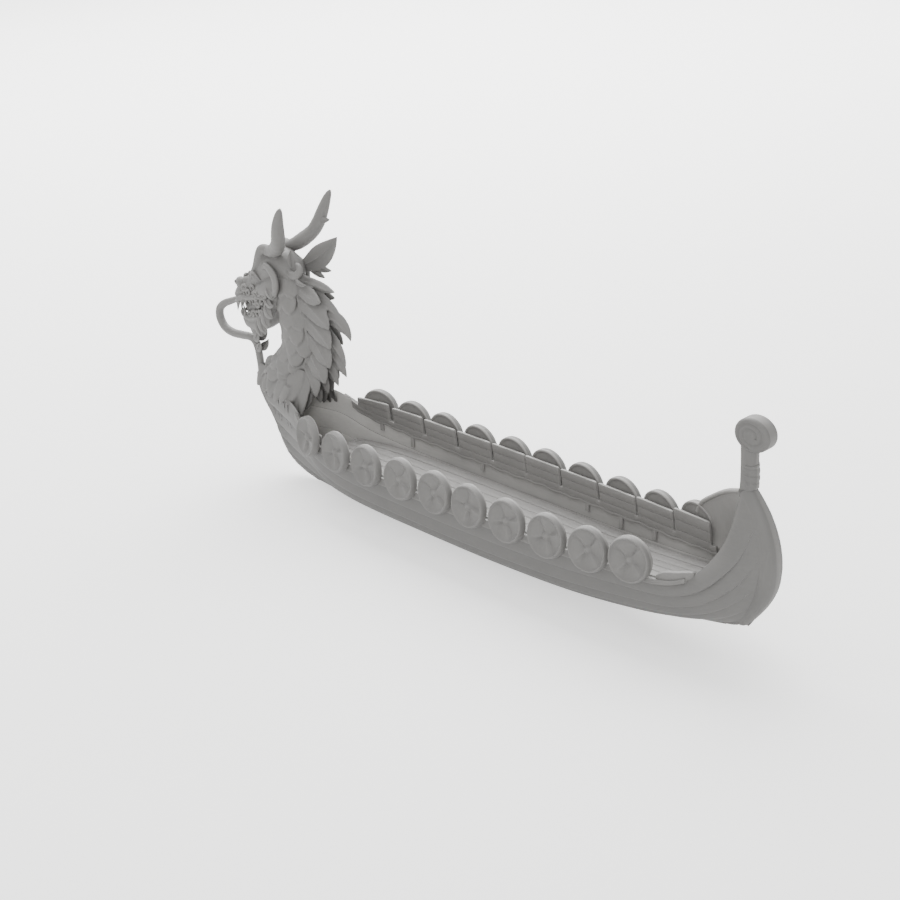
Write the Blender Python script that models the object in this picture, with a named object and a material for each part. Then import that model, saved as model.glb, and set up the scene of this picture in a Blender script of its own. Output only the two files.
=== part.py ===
# Dragon-headed timber longship with shields along both sides, real size.
# Metres, Z up. The bow points to -X, port is -Y, and Z = 0 is the waterline.
import bpy
import bmesh
import math
from mathutils import Vector

for old in list(bpy.data.objects):
    bpy.data.objects.remove(old, do_unlink=True)

# Driving dimensions
GAP = 0.0005                # space left between pieces that touch
PLANK_T = 0.030             # thickness of the hull planks
PLANK_GAP = 0.0001          # space inside a lap
LAP = 0.035                 # share of the girth that one plank laps over the next
STRAKES = 5                 # planks on each side
STATIONS = 23               # places along the hull where its section is drawn
FRAME_T = 0.070             # depth of the ribs
FRAME_W = 0.080             # width of the ribs along the boat
RAIL_T = 0.060              # thickness of the outer rail
DECK_Z = 0.360              # top of the deck amidships
DECK_T = 0.045
SHIELD_R = 0.450            # round shields 0.90 m across
SHIELD_T = 0.160            # depth of a shield at its rim
SHIELD_TILT = math.radians(6.7)
SHIELD_SEG = 16
BOARD_T = 0.050             # thickness of the boards behind the shields
BOARD_RISE = 0.24           # how far those boards stand above the shields' centres
RAIL_F = 0.935              # place on the top plank of the outer rail's lower edge
SINK = 0.006                # how far a piece reaches into a plank before its seat is cut
QUARTER_T = 0.022           # thickness of the raised quarter board
SCROLL_T = 0.270            # thickness of the scroll on the stern post

WOOD = (0.250, 0.243, 0.235)

# Hull form. Each row is one section, bow to stern, starboard side, as three control points:
# where it leaves the backbone (kx, kw, kz), its belly (bx, by, bz) and the sheer (sx, sy, sz)
HULL_ROWS = [
    (-6.00, 0.085, -0.340, -6.50, 0.090, 0.350, -6.88, 0.100, 1.440),
    (-5.60, 0.082, -0.490, -6.10, 0.160, 0.200, -6.30, 0.240, 1.400),
    (-5.10, 0.080, -0.580, -5.50, 0.360, 0.100, -5.70, 0.420, 1.410),
    (-4.60, 0.080, -0.610, -4.85, 0.620, 0.000, -5.05, 0.620, 1.350),
    (-4.00, 0.080, -0.615, -4.15, 0.800, -0.200, -4.30, 0.850, 1.000),
    (-3.00, 0.080, -0.612, -3.05, 0.920, -0.360, -3.10, 1.000, 0.830),
    (-1.00, 0.080, -0.610, -1.00, 0.950, -0.420, -1.00, 1.020, 0.790),
    (1.00, 0.080, -0.600, 1.00, 0.950, -0.420, 1.00, 1.010, 0.790),
    (2.90, 0.080, -0.530, 3.00, 0.900, -0.340, 3.00, 0.960, 0.800),
    (4.50, 0.082, -0.380, 4.60, 0.800, -0.120, 4.60, 0.870, 0.820),
    (5.40, 0.090, -0.200, 5.75, 0.800, 0.120, 5.55, 0.800, 0.850),
    (6.00, 0.100, -0.080, 6.50, 0.850, 0.450, 6.15, 0.690, 1.060),
    (6.40, 0.110, 0.000, 7.05, 0.720, 0.800, 6.42, 0.450, 1.380),
    (6.62, 0.115, 0.060, 7.45, 0.480, 1.150, 6.62, 0.240, 1.850),
    (6.75, 0.120, 0.120, 7.72, 0.330, 1.400, 6.78, 0.105, 2.660),
]


def catmull(a, b, c, d, t):
    # one value on a smooth curve that passes through b and c
    return 0.5 * (2 * b + (c - a) * t + (2 * a - 5 * b + 4 * c - d) * t * t
                  + (3 * b - a - 3 * c + d) * t * t * t)


def table_at(rows, s):
    # a smooth row between the rows of a table, s counted in rows
    last = len(rows) - 1
    s = min(max(s, 0.0), float(last))
    i = min(int(s), last - 1)
    t = s - i
    r0 = rows[max(i - 1, 0)]
    r1 = rows[i]
    r2 = rows[i + 1]
    r3 = rows[min(i + 2, last)]
    return [catmull(r0[k], r1[k], r2[k], r3[k], t) for k in range(len(r1))]


def hull_point(s, f):
    # f runs from 0 at the backbone to 1 at the sheer
    v = table_at(HULL_ROWS, s)
    k = Vector(v[0:3])
    b = Vector(v[3:6])
    e = Vector(v[6:9])
    return k * (1 - f) ** 2 + b * 2 * f * (1 - f) + e * f * f


S_END = float(len(HULL_ROWS) - 1)


def hull_normal(s, f):
    h = 0.02
    s0 = max(s - h, 0.0)
    s1 = min(s + h, S_END)
    f0 = max(f - h, 0.0)
    f1 = min(f + h, 1.0)
    ds = hull_point(s1, f) - hull_point(s0, f)
    df = hull_point(s, f1) - hull_point(s, f0)
    n = df.cross(ds)
    n.normalize()
    if n.y < 0:
        n = -n
    return n


def hull_off(s, f, off):
    return hull_point(s, f) + hull_normal(s, f) * off


def f_at_height(s, z):
    low = 0.0
    high = 1.0
    for _ in range(30):
        mid = (low + high) / 2
        if hull_point(s, mid).z < z:
            low = mid
        else:
            high = mid
    return (low + high) / 2


def s_at_x(x):
    # the place along the sheer at this x
    low = 0.0
    high = S_END - 1.0
    for _ in range(40):
        mid = (low + high) / 2
        if hull_point(mid, 1.0).x < x:
            low = mid
        else:
            high = mid
    return (low + high) / 2


def material(name, colour, rough):
    m = bpy.data.materials.new(name)
    m.use_nodes = True
    p = m.node_tree.nodes["Principled BSDF"]
    p.inputs["Base Color"].default_value = (colour[0], colour[1], colour[2], 1.0)
    p.inputs["Roughness"].default_value = rough
    return m


def finish_mesh(name, bm, smooth, shade=1.0):
    bmesh.ops.triangulate(bm, faces=bm.faces[:], quad_method='FIXED', ngon_method='BEAUTY')
    bmesh.ops.recalc_face_normals(bm, faces=bm.faces[:])
    mesh = bpy.data.meshes.new(name)
    bm.to_mesh(mesh)
    bm.free()
    ob = bpy.data.objects.new(name, mesh)
    bpy.context.scene.collection.objects.link(ob)
    for poly in mesh.polygons:
        poly.use_smooth = smooth
    colour = tuple(c * shade for c in WOOD)
    mesh.materials.append(material("mat_" + name, colour, 0.75))
    return ob


def loft(name, rings, smooth=False, shade=1.0, closed=False):
    # a skin through rings of equal length, closed round each ring, with an end face on each end
    bm = bmesh.new()
    grid = [[bm.verts.new(p) for p in ring] for ring in rings]
    n = len(grid[0])
    count = len(grid) if closed else len(grid) - 1
    for i in range(count):
        a = grid[i]
        b = grid[(i + 1) % len(grid)]
        for j in range(n):
            k = (j + 1) % n
            bm.faces.new((a[j], a[k], b[k], b[j]))
    if not closed:
        bm.faces.new(grid[0])
        bm.faces.new(list(reversed(grid[-1])))
    return finish_mesh(name, bm, smooth, shade)


def mirror_ring(ring):
    return [Vector((p.x, -p.y, p.z)) for p in ring]


def side_rings(rings, side):
    # the tables give starboard, and port is its mirror image
    if side == "port":
        return [mirror_ring(r) for r in rings]
    return rings


def hide_tool(ob):
    # a cutter or a shape that is joined to another is not a piece of its own
    ob.hide_render = True
    ob.display_type = 'WIRE'


def swollen_copy(ob, grow):
    # a hidden, slightly larger copy that cuts a seat in its neighbour
    mesh = ob.data.copy()
    mesh.name = "seat_" + ob.data.name
    for vert, normal in zip(mesh.vertices, [v.normal.copy() for v in ob.data.vertices]):
        vert.co = vert.co + normal * grow
    cut = bpy.data.objects.new("seat_cut_" + ob.name + "_" + str(len(bpy.data.objects)), mesh)
    bpy.context.scene.collection.objects.link(cut)
    hide_tool(cut)
    return cut


def combine(ob, tool, operation):
    mod = ob.modifiers.new(operation.lower() + "_" + tool.name, 'BOOLEAN')
    mod.operation = operation
    mod.solver = 'EXACT'
    mod.object = tool
    return mod


def seat(ob, body, grow=GAP):
    mod = combine(ob, swollen_copy(body, grow), 'DIFFERENCE')
    mod.use_self = True
    return ob


def seat_on_carving(ob, body):
    # a carved body has creases where a swollen copy would sink in, so copies that are moved a little
    # each way cut the seat instead
    for axis in range(3):
        for way in (-GAP, GAP):
            cut = swollen_copy(body, 0.0)
            cut.location[axis] = way
            combine(ob, cut, 'DIFFERENCE')
    return ob


def grown_together(ob, tools):
    # one body out of several closed shapes, kept as the object's own mesh
    for tool in tools:
        hide_tool(tool)
        combine(ob, tool, 'UNION')
    graph = bpy.context.evaluated_depsgraph_get()
    mesh = bpy.data.meshes.new_from_object(ob.evaluated_get(graph))
    ob.modifiers.clear()
    ob.data = mesh
    return ob


# Backbone: keel, stem and stern post, one sweep cut in three.
# Each row is the outer edge of the timber (x, z), its half width and how deep it goes inward
STEM_ROWS = [
    (-5.20, -0.665, 0.0795, 0.100),
    (-5.60, -0.585, 0.0800, 0.120),
    (-5.95, -0.455, 0.0840, 0.140),
    (-6.25, -0.250, 0.0845, 0.160),
    (-6.42, 0.000, 0.0860, 0.160),
    (-6.56, 0.320, 0.0880, 0.160),
    (-6.73, 0.610, 0.0900, 0.160),
    (-6.92, 0.850, 0.0920, 0.170),
    (-7.06, 1.080, 0.0940, 0.180),
    (-7.13, 1.320, 0.0950, 0.190),
    (-7.14, 1.540, 0.0900, 0.190),
]


def run_rings(rows):
    rings = []
    for i, row in enumerate(rows):
        a = rows[max(i - 1, 0)]
        b = rows[min(i + 1, len(rows) - 1)]
        rings.append((row, b[0] - a[0], b[1] - a[1]))
    return rings


# the stem runs forward and up, so inward is aft
rings = []
for row, tx, tz in run_rings(STEM_ROWS):
    t = Vector((tx, 0, tz)).normalized()
    if row is STEM_ROWS[0]:
        t = Vector((-1, 0, 0))
    if row is STEM_ROWS[-1]:
        t = Vector((0, 0, 1))
    inward = Vector((t.z, 0, -t.x))
    base = Vector((row[0], 0, row[1]))
    w = row[2]
    d = row[3]
    ring = []
    for dep, y in ((d, w), (0.03, w), (0.0, w * 0.6), (0.0, -w * 0.6), (0.03, -w), (d, -w)):
        ring.append(base + inward * dep + Vector((0, y, 0)))
    rings.append(ring)
loft("stem", rings, smooth=False, shade=0.98)

# the keel runs from the stem scarf to the stern post
KEEL_X0 = -5.1995
POST_S = 12.13
KEEL_X1 = hull_point(POST_S, 0.0).x - GAP
rings = []
KEEL_N = 20
for i in range(KEEL_N + 1):
    s_low = 0.0
    s_high = S_END
    x = KEEL_X0 + (KEEL_X1 - KEEL_X0) * i / KEEL_N
    for _ in range(40):
        s_mid = (s_low + s_high) / 2
        if hull_point(s_mid, 0.0).x < x:
            s_low = s_mid
        else:
            s_high = s_mid
    k = hull_point(s_low, 0.0)
    w = k.y - GAP * 1.5
    bottom = k.z - 0.085
    top = k.z - 0.002
    half = ((top, w), (bottom + 0.025, w), (bottom, w * 0.6))
    ring = [Vector((x, y, z)) for z, y in half]
    ring += [Vector((x, -y, z)) for z, y in reversed(half)]
    rings.append(ring)
loft("keel", rings, smooth=False, shade=0.94)

# the stern post grows out of the keel, turns up the heel and stands up as the neck of the scroll


def post_ring(p, out, w_in, w_out, depth, nose):
    ring = []
    side_points = [(-depth, w_in), (0.012, w_in), (0.045, w_out)]
    side_points += [(nose * 0.60, w_out * 0.86), (nose, w_out * 0.40)]
    for d, y in side_points:
        ring.append(p + out * d + Vector((0, y, 0)))
    for d, y in reversed(side_points):
        ring.append(p + out * d + Vector((0, -y, 0)))
    return ring


POST_Z = [0.00, 0.10, 0.22, 0.34, 0.46, 0.58, 0.70, 0.82, 0.92, 1.00]
POST_NOSE = [0.13, 0.17, 0.21, 0.24, 0.26, 0.26, 0.25, 0.24, 0.22, 0.21]
rings = []
for s, nose in ((POST_S, 0.085), (12.7, 0.095), (13.3, 0.110)):
    k = hull_point(s, 0.0)
    w = k.y - GAP * 1.5
    rings.append(post_ring(Vector((k.x, 0, k.z)), Vector((0, 0, -1)), w, w, 0.0, nose))
for f, nose in zip(POST_Z, POST_NOSE):
    p = hull_point(S_END, f)
    q0 = hull_point(S_END, max(f - 0.02, 0.0))
    q1 = hull_point(S_END, min(f + 0.02, 1.0))
    out = Vector((q1.z - q0.z, 0, -(q1.x - q0.x))).normalized()
    w = p.y - 0.007
    shoulder = w + 0.001 + (PLANK_T + 0.009) * min(1.0, f / 0.1)
    rings.append(post_ring(Vector((p.x, 0, p.z)), out, w, shoulder, 0.10, nose))
NECK_X = 6.870
for z, w in ((2.76, 0.103), (2.81, 0.100), (2.9995, 0.100)):
    rings.append(post_ring(Vector((NECK_X, 0, z)), Vector((1, 0, 0)), w, w, 0.105, 0.130))
loft("stern_post", rings, smooth=False, shade=0.96)

# wrapped collar round the neck, holding post and scroll together
COLLAR_ROWS = [
    (2.82, 0.014), (2.86, 0.034), (2.93, 0.014), (3.01, 0.034),
    (3.08, 0.016), (3.17, 0.036), (3.21, 0.012),
]
COLLAR_CLEAR = 0.0009
inner = post_ring(Vector((NECK_X, 0, 0)), Vector((1, 0, 0)), 0.100, 0.100, 0.105, 0.130)
centre = Vector((NECK_X + 0.01, 0, 0))
rings = []
for p in inner:
    d = (p - centre).normalized()
    ring = [p + d * COLLAR_CLEAR + Vector((0, 0, COLLAR_ROWS[0][0]))]
    for z, out in COLLAR_ROWS:
        ring.append(p + d * (COLLAR_CLEAR + out) + Vector((0, 0, z)))
    ring.append(p + d * COLLAR_CLEAR + Vector((0, 0, COLLAR_ROWS[-1][0])))
    rings.append(ring)
loft("neck_collar", rings, smooth=False, shade=1.02, closed=True)

# the scroll: a stalk out of the collar that ends in a thick disc with a carved spiral
SCROLL_X = 6.970
SCROLL_Z = 3.785
SCROLL_WIDE = 0.340         # half its length along the boat
SCROLL_HIGH = 0.300         # half its height
SCROLL_SIDES = 30
SPIRAL_TURNS = 1.75
SPIRAL_STEPS = 40
SPIRAL_CUT = 0.022          # width of the groove, and its depth


def spiral_cutter(name, y):
    # a square bead that winds inward, clockwise from below as seen from port
    rings = []
    for i in range(SPIRAL_STEPS + 1):
        t = i / SPIRAL_STEPS
        ang = math.radians(-110.0 - 360.0 * SPIRAL_TURNS * t)
        r = 0.76 - 0.46 * t
        turn = Vector((math.cos(ang) * SCROLL_WIDE, 0, math.sin(ang) * SCROLL_HIGH))
        ring = []
        for dr, dy in ((-0.5, -1.0), (0.5, -1.0), (0.5, 1.0), (-0.5, 1.0)):
            edge = turn * r + turn.normalized() * (dr * SPIRAL_CUT)
            ring.append(Vector((SCROLL_X + 0.02, y + dy * SPIRAL_CUT, SCROLL_Z - 0.01)) + edge)
        rings.append(ring)
    return loft(name, rings)


rings = []
for z in (3.0, 3.22, 3.40, 3.60):
    rings.append(post_ring(Vector((NECK_X, 0, z)), Vector((1, 0, 0)), 0.099, 0.099, 0.104, 0.129))
scroll = loft("stern_scroll", rings, smooth=False, shade=1.0)
rings = []
for y, share in ((-0.5, 0.92), (-0.42, 1.0), (0.42, 1.0), (0.5, 0.92)):
    ring = []
    for k in range(SCROLL_SIDES):
        ang = 2 * math.pi * k / SCROLL_SIDES
        edge = Vector((math.cos(ang) * SCROLL_WIDE, 0, math.sin(ang) * SCROLL_HIGH)) * share
        ring.append(Vector((SCROLL_X, y * SCROLL_T, SCROLL_Z)) + edge)
    rings.append(ring)
grown_together(scroll, [loft("scroll_disc", rings)])
for way in (-1.0, 1.0):
    cutter = spiral_cutter("spiral_cutter_" + str(int(way)), way * SCROLL_T / 2)
    hide_tool(cutter)
    combine(scroll, cutter, 'DIFFERENCE')

# hull planks
PITCH = 1.0 / (STRAKES + 0.0)
STEP = PLANK_T + PLANK_GAP
WIDE = PITCH + LAP
AMP = STEP * WIDE / PITCH


def plank_off(i, f):
    # how far the inside of plank i stands off the hull form at f
    low = i * PITCH - (LAP if i > 0 else 0.0)
    if i == 0:
        join = PITCH - LAP
        if f <= join:
            return AMP * (LAP / WIDE) * (f / join)
        return AMP * (PITCH - f) / WIDE
    return AMP * (1.0 - (f - low) / WIDE)


def plank_fs(i):
    low = i * PITCH - (LAP if i > 0 else 0.0)
    high = (i + 1) * PITCH
    fs = [low]
    if i > 0:
        fs.append(i * PITCH)
    else:
        fs.append(high * 0.45)
    if i < STRAKES - 1:
        fs.append(high - LAP)
    else:
        fs.append(RAIL_F)
    fs.append(high)
    return fs


SHADES = [0.92, 0.97, 0.94, 1.0, 0.98]


def plate(name, outer, inner, side, shade):
    # a curved board between two grids, with the same diagonals inside and outside
    bm = bmesh.new()
    flip = -1.0 if side == "port" else 1.0
    go = [[bm.verts.new((p.x, p.y * flip, p.z)) for p in row] for row in outer]
    gi = [[bm.verts.new((p.x, p.y * flip, p.z)) for p in row] for row in inner]
    rows = len(go)
    cols = len(go[0])
    for g in (go, gi):
        for i in range(rows - 1):
            for j in range(cols - 1):
                bm.faces.new((g[i][j], g[i][j + 1], g[i + 1][j + 1]))
                bm.faces.new((g[i][j], g[i + 1][j + 1], g[i + 1][j]))
    for i in range(rows - 1):
        for j in (0, cols - 1):
            bm.faces.new((go[i][j], go[i + 1][j], gi[i + 1][j], gi[i][j]))
    for j in range(cols - 1):
        for i in (0, rows - 1):
            bm.faces.new((go[i][j], go[i][j + 1], gi[i][j + 1], gi[i][j]))
    return finish_mesh(name, bm, False, shade)


for side in ("port", "starboard"):
    for i in range(STRAKES):
        fs = plank_fs(i)
        outer = []
        inner = []
        for k in range(STATIONS):
            s = S_END * k / (STATIONS - 1)
            outer.append([hull_off(s, f, plank_off(i, f) + PLANK_T) for f in fs])
            inner.append([hull_off(s, f, plank_off(i, f) + GAP) for f in fs])
        plate("plank_" + str(i + 1) + "_" + side, outer, inner, side, SHADES[i])


# outer rail along the top plank, which the shields hang on. It bends only where the planks bend


def between(grid_s, fn, s):
    # a point between two sections, on the straight run that the planks make there
    k = min(max(int(s / grid_s), 0), STATIONS - 2)
    t = s / grid_s - k
    return fn(k * grid_s) * (1 - t) + fn((k + 1) * grid_s) * t


GRID_S = S_END / (STATIONS - 1)
TOP_PLANK = STRAKES - 1


def plank_face(i, s, f, off):
    # a point on the real, faceted face of plank i: off is the distance beyond its inside
    fs = plank_fs(i)
    j = 0
    while j < len(fs) - 2 and f > fs[j + 1]:
        j += 1
    u = (f - fs[j]) / (fs[j + 1] - fs[j])

    def at(section):
        low = hull_off(section, fs[j], plank_off(i, fs[j]) + off)
        high = hull_off(section, fs[j + 1], plank_off(i, fs[j + 1]) + off)
        return low * (1 - u) + high * u
    return between(GRID_S, at, s)


def level_normal(s, f=1.0):
    n = hull_normal(s, f)
    return Vector((n.x, n.y, 0)).normalized()


def rail_section(s):
    n = level_normal(s)
    in_top = plank_face(TOP_PLANK, s, 1.0, PLANK_T) + n * GAP
    in_low = plank_face(TOP_PLANK, s, RAIL_F, PLANK_T) + n * GAP
    out_top = in_top + n * RAIL_T
    out_low = out_top + n * (math.tan(SHIELD_TILT) * (in_top.z - in_low.z))
    out_low.z = in_low.z
    return [in_low, in_top, out_top, out_low]


rail_stops = [GRID_S * k for k in range(5, 18)]


def rail_ring(s):
    k = 0
    while k < len(rail_stops) - 2 and s > rail_stops[k + 1]:
        k += 1
    t = (s - rail_stops[k]) / (rail_stops[k + 1] - rail_stops[k])
    a = rail_section(rail_stops[k])
    b = rail_section(rail_stops[k + 1])
    return [p * (1 - t) + q * t for p, q in zip(a, b)]


for side in ("port", "starboard"):
    rings = [rail_section(s) for s in rail_stops]
    loft("outer_rail_" + side, side_rings(rings, side), smooth=False, shade=1.02)

# low ribs across the inside of the hull, each with a beam that carries the deck


def deck_level(x):
    t = (x + 4.65) / 10.25
    return DECK_Z + 0.16 * max(0.0, (t - 0.75) / 0.25) ** 1.5


def box(name, low, high, shade=1.0):
    ring = []
    for y, z in ((low[1], low[2]), (high[1], low[2]), (high[1], high[2]), (low[1], high[2])):
        ring.append((y, z))
    rings = [[Vector((x, y, z)) for y, z in ring] for x in (low[0], high[0])]
    return loft(name, rings, smooth=False, shade=shade)


RIB_CLEAR = 0.0003
RIB_DROP = 0.030            # the ribs end this far below the edge of the deck
BEAM_HALF = 0.033
BEAM_DEEP = 0.060
DECK_DISH = 0.045
BENDS = [0.0]
for i in range(STRAKES):
    for f in plank_fs(i)[1:]:
        if f > BENDS[-1] + 0.01:
            BENDS.append(f)


def chord_point(section, f):
    # a point on the straight run between two bends of a section, as the planks' inside has it
    j = 0
    while j < len(BENDS) - 2 and f > BENDS[j + 1]:
        j += 1
    u = (f - BENDS[j]) / (BENDS[j + 1] - BENDS[j])
    return hull_point(section, BENDS[j]) * (1 - u) + hull_point(section, BENDS[j + 1]) * u


RIB_X = [-4.20, -2.75, -1.30, 0.15, 1.60, 3.05, 4.50]
for number, x in enumerate(RIB_X):
    s = s_at_x(x)
    under_deck = deck_level(x) - DECK_T - RIB_DROP
    slope = abs(hull_normal(s, f_at_height(s, under_deck)).z)
    f_top = f_at_height(s, under_deck - FRAME_T * slope)
    half = []
    rib_fs = [0.02] + [f for f in BENDS if 0.03 < f < f_top - 0.02] + [f_top]
    rib_depths = (RIB_CLEAR, RIB_CLEAR, RIB_CLEAR + FRAME_T, RIB_CLEAR + FRAME_T)
    for f in rib_fs:
        step = FRAME_W / 2 / (hull_point(s + 0.5, f) - hull_point(s - 0.5, f)).length
        n = hull_normal(s, f)
        ring = []
        for depth, way in zip(rib_depths, (-1, 1, 1, -1)):
            ring.append(between(GRID_S, lambda section: chord_point(section, f), s + step * way) - n * depth)
        half.append(ring)
    rings = []
    for ring in reversed(half):
        rings.append([Vector((p.x, -p.y, p.z)) for p in ring])
    rings += half
    rib = loft("rib_" + str(number + 1), rings, smooth=False, shade=0.9)
    f_beam = f_at_height(s, deck_level(x) - DECK_DISH - DECK_T - 0.03)
    mid_x = hull_point(s, f_beam).x
    beam_top = deck_level(mid_x - BEAM_HALF) - DECK_DISH - DECK_T - GAP
    reach = hull_point(s, f_beam).y - FRAME_T * 0.6
    low = (mid_x - BEAM_HALF, -reach, beam_top - BEAM_DEEP)
    beam = box("beam_tool_" + str(number + 1), low, (mid_x + BEAM_HALF, reach, beam_top), 0.9)
    hide_tool(beam)
    combine(rib, beam, 'UNION')

# deck boards, one shallow dished floor over the ribs
DECK_CLEAR = 0.020          # space between the deck's edge and the planks
DECK_S0 = s_at_x(-4.65)
DECK_S1 = s_at_x(5.60)
rings = []
for k in range(21):
    s = DECK_S0 + (DECK_S1 - DECK_S0) * k / 20
    p = hull_point(s, 1.0)
    for again in range(4):
        z = deck_level(p.x)
        f = f_at_height(s, z - DECK_T)
        p = hull_point(s, f) - hull_normal(s, f) * DECK_CLEAR
    half_w = p.y
    top = []
    low = []
    for u, dz in ((-1.0, 0.0), (-0.5, -DECK_DISH), (0.5, -DECK_DISH), (1.0, 0.0)):
        top.append(Vector((p.x, half_w * u, z + dz)))
        low.append(Vector((p.x, half_w * u, z + dz - DECK_T)))
    rings.append(top + list(reversed(low)))
loft("deck", rings, smooth=False, shade=1.12)

# the raised quarter board stands on the starboard top plank and curves in to the stern post.
# Each row: place along the sheer, and the top edge as x, y, z
QUARTER_ROWS = [
    (9.40, 4.98, 0.930, 1.36),
    (9.545, 5.12, 0.885, 1.61),
    (10.18, 5.62, 0.700, 1.99),
    (10.82, 5.95, 0.520, 2.21),
    (11.45, 6.20, 0.360, 2.36),
    (12.09, 6.40, 0.235, 2.46),
    (12.73, 6.55, 0.150, 2.54),
]
QUARTER_F = 0.97            # its foot reaches this far down before its seat is cut
outer = []
inner = []
for s, x, y, z in QUARTER_ROWS:
    foot = [plank_face(TOP_PLANK, s, QUARTER_F, off) for off in (PLANK_T - QUARTER_T, PLANK_T)]
    edge = Vector((x, y, z))
    n = level_normal(s)
    high = [edge, edge + n * QUARTER_T]
    rows = []
    for low_p, high_p in zip(foot, high):
        rows.append([low_p * (1 - u) + high_p * u + n * (0.10 * u * (1 - u)) for u in (0.0, 0.33, 0.67, 1.0)])
    inner.append(rows[0])
    outer.append(rows[1])
quarter = plate("quarter_board_starboard", outer, inner, "starboard", 0.97)
for body in ("plank_5_starboard", "stern_post", "outer_rail_starboard"):
    seat(quarter, bpy.data.objects[body])

# boards inside the shields: a low inner rail with one board behind every shield.
# Each row of the shield table: centre along the boat, half breadth, height, bow turn in degrees,
# and half the length of the board behind it
SHIELD_ROWS = [
    (-4.121, 1.129, 1.067, 14.0, 0.340),
    (-3.103, 1.184, 1.010, 6.0, 0.360),
    (-2.088, 1.200, 0.991, 2.0, 0.380),
    (-1.036, 1.191, 0.995, 0.0, 0.390),
    (0.000, 1.181, 1.000, 0.0, 0.400),
    (0.965, 1.176, 0.997, 0.0, 0.400),
    (1.987, 1.166, 0.990, -1.0, 0.410),
    (3.016, 1.141, 0.991, -3.0, 0.410),
    (4.022, 1.088, 1.022, -5.0, 0.400),
    (4.980, 0.991, 1.114, -8.0, 0.400),
]
NOTCH = 0.002               # a board's end rises over this length
RACK_X0 = -4.72
RACK_X1 = 5.56


def rack_ring(s, high, z_low):
    top = hull_point(s, 1.0)
    n = hull_normal(s, 1.0)
    n = Vector((n.x, n.y, 0)).normalized()
    f_low = f_at_height(s, z_low)
    a = plank_face(TOP_PLANK, s, f_low, GAP) + n * SINK
    b = plank_face(TOP_PLANK, s, 1.0, GAP) + n * SINK
    lean = 0.10
    zt = max(high, top.z + 0.02)
    c = b - n * (zt - top.z) * lean + Vector((0, 0, zt - top.z))
    deep = BOARD_T + SINK
    return [a, b, c, c - n * deep, b - n * deep, a - n * deep]


for side in ("port", "starboard"):
    rings = []
    stops = [(RACK_X0, False)]
    for x, y, z, turn, reach in SHIELD_ROWS:
        stops.append((x - reach - NOTCH, False))
        for share in (-1.0, 0.0, 1.0):
            stops.append((x + reach * share, True))
        stops.append((x + reach + NOTCH, False))
    stops.append((RACK_X1, False))
    for x, high in stops:
        s = s_at_x(x)
        place = (x - SHIELD_ROWS[0][0]) / (SHIELD_ROWS[-1][0] - SHIELD_ROWS[0][0]) * (len(SHIELD_ROWS) - 1)
        z_high = table_at(SHIELD_ROWS, place)[2] + BOARD_RISE if high else 0.0
        rings.append(rack_ring(s, z_high, hull_point(s, 1.0).z - 0.16))
    rack = loft("shield_boards_" + side, side_rings(rings, side), smooth=False, shade=0.95)
    seat(rack, bpy.data.objects["plank_5_" + side])
    if side == "starboard":
        seat(rack, quarter)

# the round shields
# outside and inside of a shield as radius and depth; the face is a shallow dish with a boss
SHIELD_PROFILE = [
    (SHIELD_R, 0.050), (0.438, 0.080), (0.408, 0.080), (0.392, 0.045), (0.130, -0.010), (0.085, 0.050),
]
SHIELD_BACK = [(SHIELD_R, -SHIELD_T / 2), (0.385, -SHIELD_T / 2), (0.368, -0.040)]
SHIELD_EASE = 0.0004        # the rail bulges this much between two sections
RIM_TESTS = [0.365, 0.375, 0.385, 0.395, 0.405, 0.415, 0.425, 0.435, 0.442, 0.450]
for side in ("port", "starboard"):
    for number, (x, y, z, turn, reach) in enumerate(SHIELD_ROWS):
        s = s_at_x(x)
        edge = rail_ring(s)
        face = Vector((math.sin(math.radians(-turn)), math.cos(math.radians(turn)), 0.0))
        face = (face * math.cos(SHIELD_TILT) + Vector((0, 0, math.sin(SHIELD_TILT)))).normalized()
        across = Vector((face.y, -face.x, 0)).normalized()
        upward = across.cross(face)
        if upward.z < 0:
            upward = -upward
        centre = Vector((x, y, z))
        # shift it straight in or out until the rim of its back rests on the rail
        worst = -1.0
        for row in (2, 3):
            drop = (z - edge[row].z) / math.cos(SHIELD_TILT)
            for r in RIM_TESTS:
                if r <= abs(drop):
                    continue
                half_chord = math.sqrt(r * r - drop * drop)
                for px in (-half_chord, half_chord):
                    q = rail_ring(s_at_x(x + px * across.x))[row]
                    depth = (q - (centre - face * SHIELD_T / 2)).dot(face)
                    worst = max(worst, depth)
        centre = centre + Vector((0, 1, 0)) * ((worst + GAP + SHIELD_EASE) / face.y)
        rings = []
        for r, d in reversed(SHIELD_BACK):
            rings.append((r, d))
        for r, d in SHIELD_PROFILE:
            rings.append((r, d))
        bm = bmesh.new()
        grid = []
        for r, d in rings:
            loop = []
            for k in range(SHIELD_SEG):
                a = 2 * math.pi * k / SHIELD_SEG
                p = centre + across * (math.cos(a) * r) + upward * (math.sin(a) * r) + face * d
                if side == "port":
                    p.y = -p.y
                loop.append(bm.verts.new(p))
            grid.append(loop)
        for i in range(len(grid) - 1):
            for k in range(SHIELD_SEG):
                j = (k + 1) % SHIELD_SEG
                bm.faces.new((grid[i][k], grid[i][j], grid[i + 1][j], grid[i + 1][k]))
        bm.faces.new(grid[0])
        bm.faces.new(grid[-1])
        shield = finish_mesh("shield_" + str(number + 1) + "_" + side, bm, False, 1.0)
        seat(shield, bpy.data.objects["outer_rail_" + side])
        if side == "starboard":
            seat(shield, quarter)

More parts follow.
